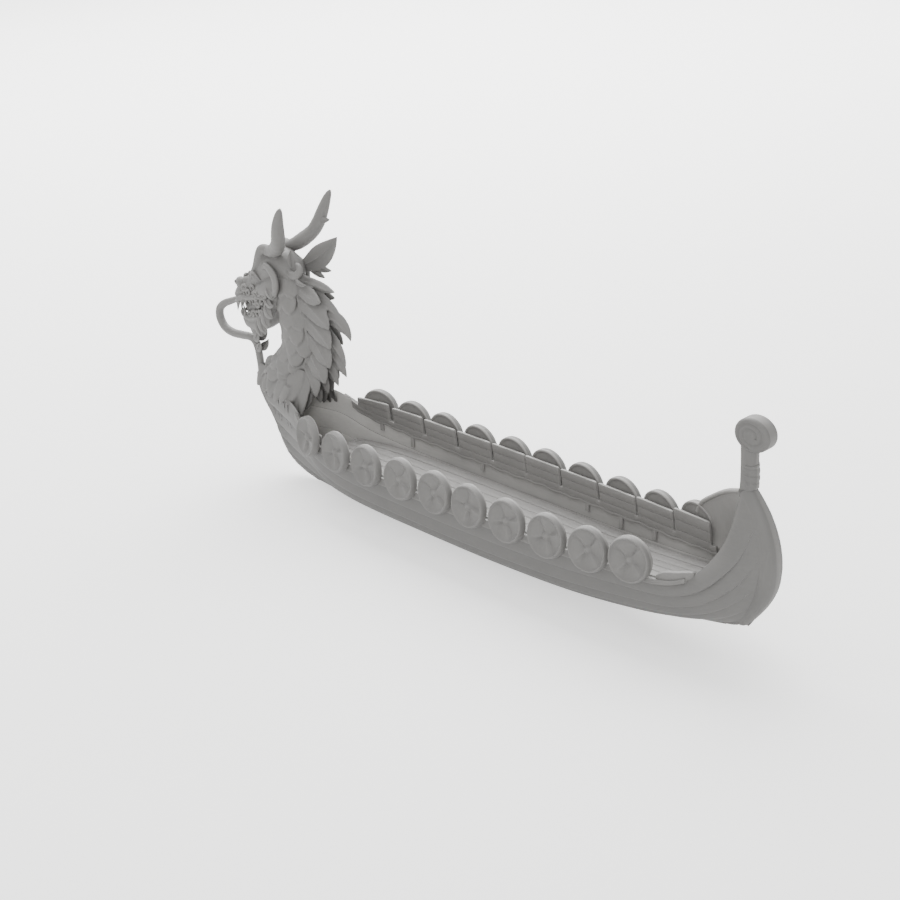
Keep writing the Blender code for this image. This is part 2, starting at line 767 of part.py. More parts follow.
# small foredeck between the bow planks, which carries the figurehead
FORE_Z = 1.365
FORE_T = 0.035
rings = []
for k in range(1, 5):
    s = GRID_S * k
    ys = []
    for z in (FORE_Z - FORE_T, FORE_Z):
        ys.append(plank_face(TOP_PLANK, s, f_at_height(s, z), GAP).y)
    p = hull_point(s, f_at_height(s, FORE_Z))
    half_w = max(ys) + 0.004
    ring = []
    for y, z in ((-1, 0), (1, 0), (1, -FORE_T), (-1, -FORE_T)):
        ring.append(Vector((p.x, y * half_w, FORE_Z + z)))
    rings.append(ring)
foredeck = loft("foredeck", rings, smooth=False, shade=1.05)
for side in ("port", "starboard"):
    seat(foredeck, bpy.data.objects["plank_5_" + side])


def frames_along(points):
    # a direction and two cross directions at every point of a curve, with little twist
    out = []
    cross = Vector((0, 1, 0))
    for i, p in enumerate(points):
        a = points[max(i - 1, 0)]
        b = points[min(i + 1, len(points) - 1)]
        t = (b - a).normalized()
        cross = (cross - t * cross.dot(t)).normalized()
        out.append((t, cross, t.cross(cross)))
    return out


def tube(name, rows, sides=8, shade=1.0, smooth=True, level=False):
    # rows are x, y, z, half width across, half height; ellipses along a curve
    points = [Vector(r[0:3]) for r in rows]
    rings = []
    for row, p, (t, u, v) in zip(rows, points, frames_along(points)):
        if level:
            u = Vector((0, 1, 0))
            v = Vector((-1, 0, 0))
        ring = []
        for k in range(sides):
            a = 2 * math.pi * (k + 0.5) / sides
            ring.append(p + u * (math.cos(a) * row[3]) + v * (math.sin(a) * row[4]))
        rings.append(ring)
    return loft(name, rings, smooth=smooth, shade=shade)


def denser(rows, n):
    return [table_at(rows, (len(rows) - 1) * k / n) for k in range(n + 1)]


def ridged_leaf(name, root, bend, tip, wide, thick, look, steps=7):
    # a carved leaf on a curved spine, with a ridge along each face; look is where its face points
    root = Vector(root)
    bend = Vector(bend)
    tip = Vector(tip)
    rings = []
    for i in range(steps + 1):
        t = i / steps
        p = root * (1 - t) ** 2 + bend * 2 * t * (1 - t) + tip * t * t
        d = ((bend - root) * (1 - t) + (tip - bend) * t).normalized()
        face = (look - d * look.dot(d)).normalized()
        side = d.cross(face)
        share = max(math.sin(math.pi * (0.20 + 0.80 * t)) ** 0.8, 0.05)
        w = wide / 2 * share
        h = thick / 2 * max(share ** 0.7, 0.12)
        rings.append([p + side * w, p + face * h, p - side * w, p - face * h])
    return loft(name, rings, smooth=False, shade=0.97)


# Figurehead. Neck rows: centre x, 0, z, half width, half depth
NECK_ROWS = [
    (-6.19, 0.0, FORE_Z + GAP, 0.215, 0.600),
    (-6.10, 0.0, 1.60, 0.265, 0.610),
    (-5.92, 0.0, 1.86, 0.320, 0.590),
    (-5.70, 0.0, 2.14, 0.325, 0.550),
    (-5.46, 0.0, 2.50, 0.315, 0.510),
    (-5.38, 0.0, 2.80, 0.305, 0.480),
    (-5.42, 0.0, 3.10, 0.300, 0.450),
    (-5.52, 0.0, 3.45, 0.290, 0.430),
    (-5.60, 0.0, 3.85, 0.275, 0.400),
    (-5.66, 0.0, 4.20, 0.240, 0.340),
]
neck = tube("neck", denser(NECK_ROWS, 18), sides=14, shade=0.98, level=True)

# Head forms: rows of x, y, z, half width, half height. Those off the middle come in pairs
SKULL_ROWS = [
    (-5.18, 0.0, 4.24, 0.10, 0.12),
    (-5.36, 0.0, 4.26, 0.25, 0.28),
    (-5.62, 0.0, 4.32, 0.33, 0.38),
    (-5.92, 0.0, 4.34, 0.35, 0.40),
    (-6.20, 0.0, 4.22, 0.35, 0.40),
    (-6.50, 0.0, 3.98, 0.31, 0.33),
    (-6.80, 0.0, 3.76, 0.28, 0.25),
    (-7.10, 0.0, 3.62, 0.26, 0.20),
    (-7.38, 0.0, 3.46, 0.23, 0.16),
    (-7.60, 0.0, 3.32, 0.13, 0.09),
]
BROW_ROWS = [
    (-5.72, 0.22, 4.62, 0.07, 0.08),
    (-5.98, 0.28, 4.74, 0.10, 0.11),
    (-6.16, 0.30, 4.70, 0.10, 0.12),
    (-6.30, 0.30, 4.50, 0.09, 0.11),
    (-6.44, 0.28, 4.28, 0.08, 0.09),
    (-6.62, 0.25, 4.10, 0.06, 0.07),
    (-6.80, 0.20, 3.98, 0.04, 0.05),
]
CHEEK_ROWS = [
    (-5.62, 0.20, 4.02, 0.12, 0.18),
    (-5.95, 0.27, 3.88, 0.15, 0.22),
    (-6.25, 0.29, 3.76, 0.11, 0.16),
    (-6.52, 0.28, 3.72, 0.06, 0.09),
]
NOSTRIL_ROWS = [
    (-7.36, 0.19, 3.70, 0.03, 0.03),
    (-7.28, 0.19, 3.73, 0.10, 0.10),
    (-7.16, 0.19, 3.76, 0.12, 0.12),
    (-7.02, 0.18, 3.80, 0.10, 0.10),
    (-6.90, 0.17, 3.82, 0.04, 0.04),
]
FRILL_ROWS = [
    (-6.14, 0.33, 4.32, 0.04, 0.05),
    (-5.92, 0.39, 4.40, 0.06, 0.08),
    (-5.70, 0.42, 4.30, 0.07, 0.10),
    (-5.60, 0.43, 4.12, 0.07, 0.11),
    (-5.64, 0.42, 3.92, 0.065, 0.10),
    (-5.78, 0.38, 3.74, 0.05, 0.07),
    (-5.94, 0.32, 3.66, 0.04, 0.04),
]


def paired(name, rows, count, sides):
    # the same tube on both sides of the middle
    pieces = []
    for side, sign in (("port", -1.0), ("starboard", 1.0)):
        flipped = [(r[0], r[1] * sign, r[2], r[3], r[4]) for r in denser(rows, count)]
        pieces.append(tube(name + "_" + side, flipped, sides=sides))
    return pieces


head = tube("head", denser(SKULL_ROWS, 14), sides=14, shade=1.0)
forms = paired("brow", BROW_ROWS, 8, 8)
forms += paired("cheek", CHEEK_ROWS, 5, 8)
forms += paired("nostril", NOSTRIL_ROWS, 5, 8)
forms += paired("frill", FRILL_ROWS, 9, 6)
grown_together(head, forms)
seat_on_carving(neck, head)
for side in ("port", "starboard"):
    seat(neck, bpy.data.objects["plank_5_" + side])

JAW_ROWS = [
    (-5.95, 0.0, 3.46, 0.20, 0.14),
    (-6.22, 0.0, 3.18, 0.25, 0.16),
    (-6.55, 0.0, 2.96, 0.25, 0.14),
    (-6.90, 0.0, 2.84, 0.22, 0.13),
    (-7.20, 0.0, 2.80, 0.18, 0.12),
    (-7.44, 0.0, 2.82, 0.09, 0.08),
]
HINGE_ROWS = [
    (-5.84, 0.22, 3.84, 0.10, 0.14),
    (-6.00, 0.25, 3.50, 0.12, 0.16),
    (-6.24, 0.25, 3.20, 0.09, 0.12),
]
jaw = tube("lower_jaw", denser(JAW_ROWS, 9), sides=10, shade=0.98)
grown_together(jaw, paired("hinge", HINGE_ROWS, 4, 8))
seat_on_carving(jaw, head)
seat(jaw, neck)

WHISKER_ROWS = [
    (-7.050, 0.0, 1.5380, 0.075, 0.085),
    (-7.050, 0.0, 1.80, 0.080, 0.085),
    (-7.11, 0.0, 2.18, 0.082, 0.085),
    (-7.28, 0.0, 2.33, 0.085, 0.085),
    (-7.65, 0.0, 2.31, 0.088, 0.088),
    (-8.00, 0.0, 2.29, 0.090, 0.090),
    (-8.30, 0.0, 2.36, 0.090, 0.090),
    (-8.46, 0.0, 2.56, 0.090, 0.090),
    (-8.44, 0.0, 2.78, 0.090, 0.090),
    (-8.25, 0.0, 2.95, 0.085, 0.085),
    (-7.95, 0.0, 3.08, 0.075, 0.075),
    (-7.66, 0.0, 3.20, 0.060, 0.060),
    (-7.50, 0.0, 3.30, 0.050, 0.050),
]
whisker = tube("whisker", denser(WHISKER_ROWS, 24), sides=8, shade=1.02)
seat_on_carving(whisker, head)
seat(whisker, bpy.data.objects["stem"])

# Mane: a saddle along the nape, and leaves that grow out of it. Each leaf row: root, bend and tip
# as x and z, width, and how far root and tip stand from the middle; 0 is a single leaf
MANE_LEAVES = [
    (-5.20, 4.16, -4.52, 4.10, -4.08, 4.05, 0.22, 0.00, 0.00),
    (-5.16, 3.92, -4.44, 3.80, -3.90, 3.46, 0.34, 0.00, 0.00),
    (-5.00, 3.45, -3.80, 3.60, -3.69, 3.02, 0.40, 0.00, 0.00),
    (-4.80, 3.25, -4.16, 2.92, -3.92, 2.41, 0.34, 0.00, 0.00),
    (-4.90, 2.95, -4.24, 2.66, -3.93, 2.14, 0.44, 0.00, 0.00),
    (-5.02, 2.60, -4.46, 2.34, -4.24, 1.86, 0.44, 0.00, 0.00),
    (-5.20, 2.25, -4.78, 1.98, -4.62, 1.58, 0.44, 0.00, 0.00),
    (-5.36, 1.95, -5.00, 1.68, -4.94, 1.28, 0.40, 0.00, 0.00),
    (-5.24, 4.00, -4.72, 3.84, -4.34, 3.82, 0.26, 0.09, 0.20),
    (-5.22, 3.70, -4.50, 3.62, -4.16, 3.22, 0.36, 0.09, 0.18),
    (-5.10, 3.34, -4.40, 3.20, -4.18, 2.76, 0.38, 0.10, 0.18),
    (-4.94, 2.94, -4.42, 2.72, -4.26, 2.30, 0.38, 0.11, 0.18),
    (-5.04, 2.56, -4.58, 2.30, -4.46, 1.90, 0.38, 0.12, 0.20),
    (-5.22, 2.20, -4.82, 1.96, -4.78, 1.52, 0.38, 0.13, 0.24),
    (-5.38, 1.92, -5.12, 1.60, -5.16, 1.14, 0.38, 0.14, 0.26),
]
SADDLE_ARC = 0.46           # half the angle of the nape that the saddle covers
SADDLE_OUT = 0.085          # how far the saddle's ridge stands off the neck
SADDLE_Z = (4.10, 3.70, 3.30, 2.90, 2.50, 2.10, 1.75, 1.45)


def neck_at_height(z):
    place = 0.0
    while place < len(NECK_ROWS) - 1 and table_at(NECK_ROWS, place)[2] < z:
        place += 0.01
    return table_at(NECK_ROWS, place)


rings = []
for z in SADDLE_Z:
    x, y, z, half_y, half_x = neck_at_height(z)
    ring = []
    for share in (-1.0, -0.5, 0.0, 0.5, 1.0):
        stand = 0.012 + (SADDLE_OUT - 0.012) * (1.0 - abs(share))
        a = SADDLE_ARC * share
        ring.append(Vector((x + math.cos(a) * (half_x + stand), math.sin(a) * (half_y + stand), z)))
    for share in (1.0, 0.0, -1.0):
        a = SADDLE_ARC * share
        ring.append(Vector((x + math.cos(a) * (half_x - 0.05), math.sin(a) * (half_y - 0.03), z)))
    rings.append(ring)
mane = loft("mane", rings, smooth=False, shade=0.97)
leaves = []
for rx, rz, bx, bz, tx, tz, wide, y0, y1 in MANE_LEAVES:
    for sign in ((1.0, -1.0) if y0 > 0 else (1.0,)):
        look = Vector((0.0, 1.0, 0.35 * sign if y0 > 0 else 0.0)).normalized()
        root = (rx, y0 * sign, rz)
        bend = (bx, (y0 + y1) * 0.575 * sign, bz)
        tip = (tx, y1 * sign, tz)
        leaves.append(ridged_leaf("leaf_tool_" + str(len(leaves)), root, bend, tip, wide, 0.13, look))
grown_together(mane, leaves)
seat(mane, neck)
seat_on_carving(mane, head)
seat(mane, foredeck)

HORN_ROWS = [
    (-6.10, 0.24, 4.66, 0.06, 0.08),
    (-5.98, 0.27, 4.70, 0.15, 0.16),
    (-5.74, 0.29, 4.74, 0.17, 0.18),
    (-5.50, 0.35, 4.88, 0.145, 0.155),
    (-5.29, 0.48, 5.09, 0.125, 0.135),
    (-5.16, 0.56, 5.30, 0.122, 0.132),
    (-5.06, 0.62, 5.55, 0.108, 0.118),
    (-4.95, 0.66, 5.80, 0.080, 0.088),
    (-4.87, 0.68, 5.95, 0.052, 0.056),
    (-4.82, 0.69, 6.03, 0.016, 0.018),
]
TINE_ROWS = [
    (-5.14, 0.57, 5.36, 0.090, 0.100),
    (-4.92, 0.57, 5.38, 0.060, 0.075),
    (-4.76, 0.565, 5.41, 0.030, 0.036),
    (-4.68, 0.56, 5.43, 0.006, 0.008),
]
for side, sign in (("port", -1.0), ("starboard", 1.0)):
    rows = [(r[0], r[1] * sign, r[2], r[3], r[4]) for r in HORN_ROWS]
    horn = tube("horn_" + side, rows, sides=10, shade=1.03)
    rows = [(r[0], r[1] * sign, r[2], r[3], r[4]) for r in TINE_ROWS]
    grown_together(horn, [tube("tine_tool_" + side, rows, sides=8, shade=1.03)])
    seat_on_carving(horn, head)
    seat(horn, neck)

# the starboard ear stands up as a broad leaf, and the port ear is a small rolled one
EAR_LEAVES = [
    ((-5.42, 0.24, 4.36), (-4.96, 0.40, 4.50), (-4.55, 0.55, 5.07), 0.52),
    ((-5.36, 0.26, 4.30), (-4.92, 0.38, 4.26), (-4.66, 0.42, 4.32), 0.20),
]
ROLLED_EAR_ROWS = [
    (-5.40, -0.20, 4.34, 0.05, 0.07),
    (-5.20, -0.26, 4.29, 0.07, 0.09),
    (-5.02, -0.27, 4.33, 0.08, 0.09),
    (-4.92, -0.26, 4.44, 0.07, 0.08),
    (-4.96, -0.24, 4.55, 0.05, 0.05),
    (-5.06, -0.23, 4.57, 0.02, 0.02),
]
EAR_LOOK = Vector((0.45, -0.85, 0.30)).normalized()
ear_parts = []
for number, (root, bend, tip, wide) in enumerate(EAR_LEAVES):
    name = "ear_starboard" if number == 0 else "ear_tool_" + str(number)
    ear_parts.append(ridged_leaf(name, root, bend, tip, wide, 0.10, EAR_LOOK))
ears = [grown_together(ear_parts[0], ear_parts[1:])]
ears.append(tube("ear_port", denser(ROLLED_EAR_ROWS, 10), sides=8, shade=1.0))
for ear in ears:
    for neighbour in (head, neck, mane, bpy.data.objects["horn_port"], bpy.data.objects["horn_starboard"]):
        seat_on_carving(ear, neighbour)
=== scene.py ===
# The looks of the dragon-headed longship: lapped planks, carved figurehead, shields and weathered timber.
# Metres, Z up. The bow points to -X, port is -Y, and Z = 0 is the waterline.
import bpy
import bmesh
import math
import numpy as np
from mathutils import Matrix, Vector


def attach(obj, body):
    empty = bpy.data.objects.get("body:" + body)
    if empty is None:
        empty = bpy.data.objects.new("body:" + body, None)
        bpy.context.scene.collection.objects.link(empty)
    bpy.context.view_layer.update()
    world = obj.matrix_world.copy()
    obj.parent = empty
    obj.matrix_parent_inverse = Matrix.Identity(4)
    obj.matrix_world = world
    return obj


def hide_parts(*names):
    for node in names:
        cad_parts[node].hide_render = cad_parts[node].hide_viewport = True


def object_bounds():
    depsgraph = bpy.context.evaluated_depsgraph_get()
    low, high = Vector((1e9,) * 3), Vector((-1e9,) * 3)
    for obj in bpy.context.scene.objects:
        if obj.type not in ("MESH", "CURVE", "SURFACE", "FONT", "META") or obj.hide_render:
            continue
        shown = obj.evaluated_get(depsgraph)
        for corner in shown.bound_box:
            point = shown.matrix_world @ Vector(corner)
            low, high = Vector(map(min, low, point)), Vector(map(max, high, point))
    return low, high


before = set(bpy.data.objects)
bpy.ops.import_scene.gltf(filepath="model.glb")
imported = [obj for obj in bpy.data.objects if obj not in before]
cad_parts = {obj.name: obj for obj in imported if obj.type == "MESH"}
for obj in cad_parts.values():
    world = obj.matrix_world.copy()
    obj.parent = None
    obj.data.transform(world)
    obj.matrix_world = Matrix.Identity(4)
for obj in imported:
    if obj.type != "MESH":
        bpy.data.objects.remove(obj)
cad_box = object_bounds()

# Hull sizes, as the model has them
PLANK_T = 0.030
LAP = 0.035
STRAKES = 5
RAIL_T = 0.060
RAIL_F = 0.935
DECK_Z = 0.360
DECK_T = 0.045
DECK_DISH = 0.045
DECK_CLEAR = 0.020
BOARD_T = 0.056
BOARD_RISE = 0.24
QUARTER_T = 0.022
PLANK_GAP = 0.001

# Hull form. Each row is one section, bow to stern, starboard side, as three control points:
# where it leaves the backbone (kx, kw, kz), its belly (bx, by, bz) and the sheer (sx, sy, sz)
HULL_ROWS = [
    (-6.00, 0.085, -0.340, -6.50, 0.090, 0.350, -6.88, 0.100, 1.440),
    (-5.60, 0.082, -0.490, -6.10, 0.160, 0.200, -6.30, 0.240, 1.400),
    (-5.10, 0.080, -0.580, -5.50, 0.360, 0.100, -5.70, 0.420, 1.410),
    (-4.60, 0.080, -0.610, -4.85, 0.620, 0.000, -5.05, 0.620, 1.350),
    (-4.00, 0.080, -0.615, -4.15, 0.800, -0.200, -4.30, 0.850, 1.000),
    (-3.00, 0.080, -0.612, -3.05, 0.920, -0.360, -3.10, 1.000, 0.830),
    (-1.00, 0.080, -0.610, -1.00, 0.950, -0.420, -1.00, 1.020, 0.790),
    (1.00, 0.080, -0.600, 1.00, 0.950, -0.420, 1.00, 1.010, 0.790),
    (2.90, 0.080, -0.530, 3.00, 0.900, -0.340, 3.00, 0.960, 0.800),
    (4.50, 0.082, -0.380, 4.60, 0.800, -0.120, 4.60, 0.870, 0.820),
    (5.40, 0.090, -0.200, 5.75, 0.800, 0.120, 5.55, 0.800, 0.850),
    (6.00, 0.100, -0.080, 6.50, 0.850, 0.450, 6.15, 0.690, 1.060),
    (6.40, 0.110, 0.000, 7.05, 0.720, 0.800, 6.42, 0.450, 1.380),
    (6.62, 0.115, 0.060, 7.45, 0.480, 1.150, 6.62, 0.240, 1.850),
    (6.75, 0.120, 0.120, 7.72, 0.330, 1.400, 6.78, 0.105, 2.660),
]
S_END = float(len(HULL_ROWS) - 1)
SIDES = (("port", -1.0), ("starboard", 1.0))


def catmull(a, b, c, d, t):
    # one value on a smooth curve that passes through b and c
    return 0.5 * (2 * b + (c - a) * t + (2 * a - 5 * b + 4 * c - d) * t * t
                  + (3 * b - a - 3 * c + d) * t * t * t)


def table_at(rows, s):
    # a smooth row between the rows of a table, s counted in rows
    last = len(rows) - 1
    s = min(max(s, 0.0), float(last))
    i = min(int(s), last - 1)
    t = s - i
    r0 = rows[max(i - 1, 0)]
    r1 = rows[i]
    r2 = rows[i + 1]
    r3 = rows[min(i + 2, last)]
    return [catmull(r0[k], r1[k], r2[k], r3[k], t) for k in range(len(r1))]


def denser(rows, n):
    return [table_at(rows, (len(rows) - 1) * k / n) for k in range(n + 1)]


def hull_point(s, f):
    # f runs from 0 at the backbone to 1 at the sheer
    v = table_at(HULL_ROWS, s)
    k = Vector(v[0:3])
    b = Vector(v[3:6])
    e = Vector(v[6:9])
    return k * (1 - f) ** 2 + b * 2 * f * (1 - f) + e * f * f


def hull_normal(s, f):
    h = 0.02
    s0 = max(s - h, 0.0)
    s1 = min(s + h, S_END)
    f0 = max(f - h, 0.0)
    f1 = min(f + h, 1.0)
    ds = hull_point(s1, f) - hull_point(s0, f)
    df = hull_point(s, f1) - hull_point(s, f0)
    n = df.cross(ds)
    n.normalize()
    if n.y < 0:
        n = -n
    return n


def hull_off(s, f, off):
    return hull_point(s, f) + hull_normal(s, f) * off


def level_normal(s, f=1.0):
    n = hull_normal(s, f)
    return Vector((n.x, n.y, 0)).normalized()


def f_at_height(s, z):
    low = 0.0
    high = 1.0
    for _ in range(24):
        mid = (low + high) / 2
        if hull_point(s, mid).z < z:
            low = mid
        else:
            high = mid
    return (low + high) / 2


def s_at_x(x):
    # the place along the sheer at this x
    low = 0.0
    high = S_END - 1.0
    for _ in range(30):
        mid = (low + high) / 2
        if hull_point(mid, 1.0).x < x:
            low = mid
        else:
            high = mid
    return (low + high) / 2


# Finishes


def timber(name, colour, along="X", grain=1.0, rough=0.66, bump=0.14, wear_and_shade=0.16, inner_light=1.0):
    # weathered timber: streaks along the grain, broad patches, fine checks, paler rubbed edges and painted shade in
    # the corners.
    # inward is how much paler the sheltered faces are that look towards the middle of the boat
    m = bpy.data.materials.new(name)
    m.use_nodes = True
    nt = m.node_tree
    nodes = nt.nodes
    links = nt.links
    p = nodes["Principled BSDF"]
    where = nodes.new("ShaderNodeTexCoord")
    place = nodes.new("ShaderNodeMapping")
    stretch = {"X": (0.9, 11.0, 11.0), "Y": (11.0, 0.9, 11.0), "Z": (11.0, 11.0, 0.9), "all": (5.0, 5.0, 3.5)}[along]
    place.inputs["Scale"].default_value = [v * grain for v in stretch]
    links.new(where.outputs["Object"], place.inputs["Vector"])
    streak = nodes.new("ShaderNodeTexNoise")
    streak.inputs["Scale"].default_value = 2.2
    streak.inputs["Detail"].default_value = 7.0
    streak.inputs["Roughness"].default_value = 0.62
    streak.inputs["Distortion"].default_value = 0.35
    links.new(place.outputs["Vector"], streak.inputs["Vector"])
    patch = nodes.new("ShaderNodeTexNoise")
    patch.inputs["Scale"].default_value = 1.3
    patch.inputs["Detail"].default_value = 3.0
    links.new(where.outputs["Object"], patch.inputs["Vector"])
    ramp = nodes.new("ShaderNodeValToRGB")
    ramp.color_ramp.elements[0].position = 0.30
    ramp.color_ramp.elements[1].position = 0.72
    dark = [c * 0.93 for c in colour]
    pale = [min(c * 1.06, 1.0) for c in colour]
    ramp.color_ramp.elements[0].color = (dark[0], dark[1], dark[2], 1.0)
    ramp.color_ramp.elements[1].color = (pale[0], pale[1], pale[2], 1.0)
    links.new(streak.outputs["Fac"], ramp.inputs["Fac"])
    shade = nodes.new("ShaderNodeValToRGB")
    shade.color_ramp.elements[0].position = 0.25
    shade.color_ramp.elements[1].position = 0.80
    shade.color_ramp.elements[0].color = (0.93, 0.93, 0.93, 1.0)
    shade.color_ramp.elements[1].color = (1.04, 1.035, 1.03, 1.0)
    links.new(patch.outputs["Fac"], shade.inputs["Fac"])
    both = nodes.new("ShaderNodeMixRGB")
    both.blend_type = 'MULTIPLY'
    both.inputs["Fac"].default_value = 1.0
    links.new(ramp.outputs["Color"], both.inputs["Color1"])
    links.new(shade.outputs["Color"], both.inputs["Color2"])
    # paler where edges are rubbed, and painted shade that darkens the corners and creases
    geo = nodes.new("ShaderNodeNewGeometry")
    edge = nodes.new("ShaderNodeValToRGB")
    edge.color_ramp.elements[0].position = 0.42
    edge.color_ramp.elements[1].position = 0.60
    edge.color_ramp.elements[0].color = (1 - wear_and_shade, 1 - wear_and_shade, 1 - wear_and_shade, 1.0)
    edge.color_ramp.elements[1].color = (1 + wear_and_shade, 1 + wear_and_shade, 1 + wear_and_shade, 1.0)
    links.new(geo.outputs["Pointiness"], edge.inputs["Fac"])
    wear_and_corner_shade = nodes.new("ShaderNodeMixRGB")
    wear_and_corner_shade.blend_type = 'MULTIPLY'
    wear_and_corner_shade.inputs["Fac"].default_value = 1.0
    links.new(both.outputs["Color"], wear_and_corner_shade.inputs["Color1"])
    links.new(edge.outputs["Color"], wear_and_corner_shade.inputs["Color2"])
    # painted light: faces that look towards the middle of the boat are made paler, and more so towards the bow, where
    # the inside of the hull lies in shade
    facing = nodes.new("ShaderNodeSeparateXYZ")
    links.new(geo.outputs["Normal"], facing.inputs["Vector"])
    lies = nodes.new("ShaderNodeSeparateXYZ")
    links.new(where.outputs["Object"], lies.inputs["Vector"])
    across = nodes.new("ShaderNodeMath")
    across.operation = 'MULTIPLY'
    links.new(facing.outputs["Y"], across.inputs[0])
    links.new(lies.outputs["Y"], across.inputs[1])
    inner_light_map = nodes.new("ShaderNodeMapRange")
    inner_light_map.inputs["From Min"].default_value = 0.02
    inner_light_map.inputs["From Max"].default_value = -0.04
    inner_light_map.inputs["To Min"].default_value = 1.0
    inner_light_map.inputs["To Max"].default_value = inner_light
    links.new(across.outputs["Value"], inner_light_map.inputs["Value"])
    bow_light_map = nodes.new("ShaderNodeMapRange")
    bow_light_map.inputs["From Min"].default_value = -2.0
    bow_light_map.inputs["From Max"].default_value = -4.6
    bow_light_map.inputs["To Min"].default_value = 1.0
    bow_light_map.inputs["To Max"].default_value = 1.0 + 0.8 * max(inner_light - 1.0, 0.0) / inner_light
    links.new(lies.outputs["X"], bow_light_map.inputs["Value"])
    stronger = nodes.new("ShaderNodeMath")
    stronger.operation = 'POWER'
    links.new(inner_light_map.outputs["Result"], stronger.inputs[0])
    links.new(bow_light_map.outputs["Result"], stronger.inputs[1])
    lit = nodes.new("ShaderNodeVectorMath")
    lit.operation = 'SCALE'
    links.new(wear_and_corner_shade.outputs["Color"], lit.inputs[0])
    links.new(stronger.outputs["Value"], lit.inputs["Scale"])
    links.new(lit.outputs["Vector"], p.inputs["Base Color"])
    gloss = nodes.new("ShaderNodeMapRange")
    gloss.inputs["To Min"].default_value = rough - 0.10
    gloss.inputs["To Max"].default_value = rough + 0.14
    links.new(streak.outputs["Fac"], gloss.inputs["Value"])
    links.new(gloss.outputs["Result"], p.inputs["Roughness"])
    fine = nodes.new("ShaderNodeTexNoise")
    fine.inputs["Scale"].default_value = 9.0
    fine.inputs["Detail"].default_value = 5.0
    links.new(place.outputs["Vector"], fine.inputs["Vector"])
    mixed = nodes.new("ShaderNodeMath")
    mixed.operation = 'MULTIPLY_ADD'
    mixed.inputs[1].default_value = 0.6
    links.new(fine.outputs["Fac"], mixed.inputs[0])
    links.new(streak.outputs["Fac"], mixed.inputs[2])
    relief = nodes.new("ShaderNodeBump")
    relief.inputs["Strength"].default_value = bump
    relief.inputs["Distance"].default_value = 0.012
    links.new(mixed.outputs["Value"], relief.inputs["Height"])
    links.new(relief.outputs["Normal"], p.inputs["Normal"])
    return m


# painted light and shade: every finish is this one grey, made lighter for the deck, apron, ribs and seat boards to
# stand in for light inside the hull, and darker for the planks and stern post as painted shade that tones down how
# brightly they are lit
GREY = (0.088, 0.086, 0.0828)
HULL_WOOD = timber("hull_wood", [c * 0.81 for c in GREY], "X", inner_light=2.8)
LIT_INNER_WOOD = timber("lit_inner_wood", [c * 1.62 for c in GREY], "X")
RAIL_WOOD = timber("rail_wood", [c * 1.05 for c in GREY], "X")
POST_WOOD = timber("post_wood", [c * 0.80 for c in GREY], "Z", inner_light=2.4)
SHIELD_WOOD = timber("shield_wood", [c * 1.02 for c in GREY], "Z", grain=1.4, inner_light=1.6)
LIT_BOARD_WOOD = timber("lit_board_wood", [c * 1.50 for c in GREY], "X", grain=1.3)
CARVED_WOOD = timber("carved_wood", GREY, "all", grain=1.2, bump=0.12, wear_and_shade=0.24)

# Mesh tools


def place_mesh(name, mesh, mat, replaces=(), sharp=40.0):
    mesh.shade_smooth()
    mesh.set_sharp_from_angle(angle=math.radians(sharp))
    mesh.materials.clear()
    mesh.materials.append(mat)
    ob = bpy.data.objects.new(name, mesh)
    bpy.context.scene.collection.objects.link(ob)
    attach(ob, "root")
    if replaces:
        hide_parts(*replaces)
    return ob


def place_bm(name, bm, mat, replaces=(), sharp=40.0):
    bmesh.ops.recalc_face_normals(bm, faces=bm.faces[:])
    mesh = bpy.data.meshes.new(name)
    bm.to_mesh(mesh)
    bm.free()
    return place_mesh(name, mesh, mat, replaces, sharp)


def fused(name, bm, voxel, rounds):
    # one smooth skin over shapes that run into each other
    mesh = bpy.data.meshes.new(name)
    bmesh.ops.recalc_face_normals(bm, faces=bm.faces[:])
    bm.to_mesh(mesh)
    bm.free()
    ob = bpy.data.objects.new(name, mesh)
    bpy.context.scene.collection.objects.link(ob)
    skin = ob.modifiers.new("skin", 'REMESH')
    skin.mode = 'VOXEL'
    skin.voxel_size = voxel
    soft = ob.modifiers.new("soft", 'SMOOTH')
    soft.factor = 0.5
    soft.iterations = rounds
    graph = bpy.context.evaluated_depsgraph_get()
    final = bpy.data.meshes.new_from_object(ob.evaluated_get(graph))
    bpy.data.objects.remove(ob, do_unlink=True)
    return final


def add_rings(bm, rings, closed=False, flip=1.0):
    # a skin through rings of equal length, with an end face on each end
    grid = [[bm.verts.new((p[0], p[1] * flip, p[2])) for p in ring] for ring in rings]
    n = len(grid[0])
    count = len(grid) if closed else len(grid) - 1
    for i in range(count):
        a = grid[i]
        b = grid[(i + 1) % len(grid)]
        for j in range(n):
            k = (j + 1) % n
            bm.faces.new((a[j], a[k], b[k], b[j]))
    if not closed:
        bm.faces.new(grid[0])
        bm.faces.new(list(reversed(grid[-1])))


def add_plate(bm, outer, inner, flip=1.0):
    # a closed board between two grids of points
    go = [[bm.verts.new((p[0], p[1] * flip, p[2])) for p in row] for row in outer]
    gi = [[bm.verts.new((p[0], p[1] * flip, p[2])) for p in row] for row in inner]
    rows = len(go)
    cols = len(go[0])
    for g in (go, gi):
        for i in range(rows - 1):
            for j in range(cols - 1):
                bm.faces.new((g[i][j], g[i][j + 1], g[i + 1][j + 1], g[i + 1][j]))
    for i in range(rows - 1):
        for j in (0, cols - 1):
            bm.faces.new((go[i][j], go[i + 1][j], gi[i + 1][j], gi[i][j]))
    for j in range(cols - 1):
        for i in (0, rows - 1):
            bm.faces.new((go[i][j], go[i][j + 1], gi[i][j + 1], gi[i][j]))


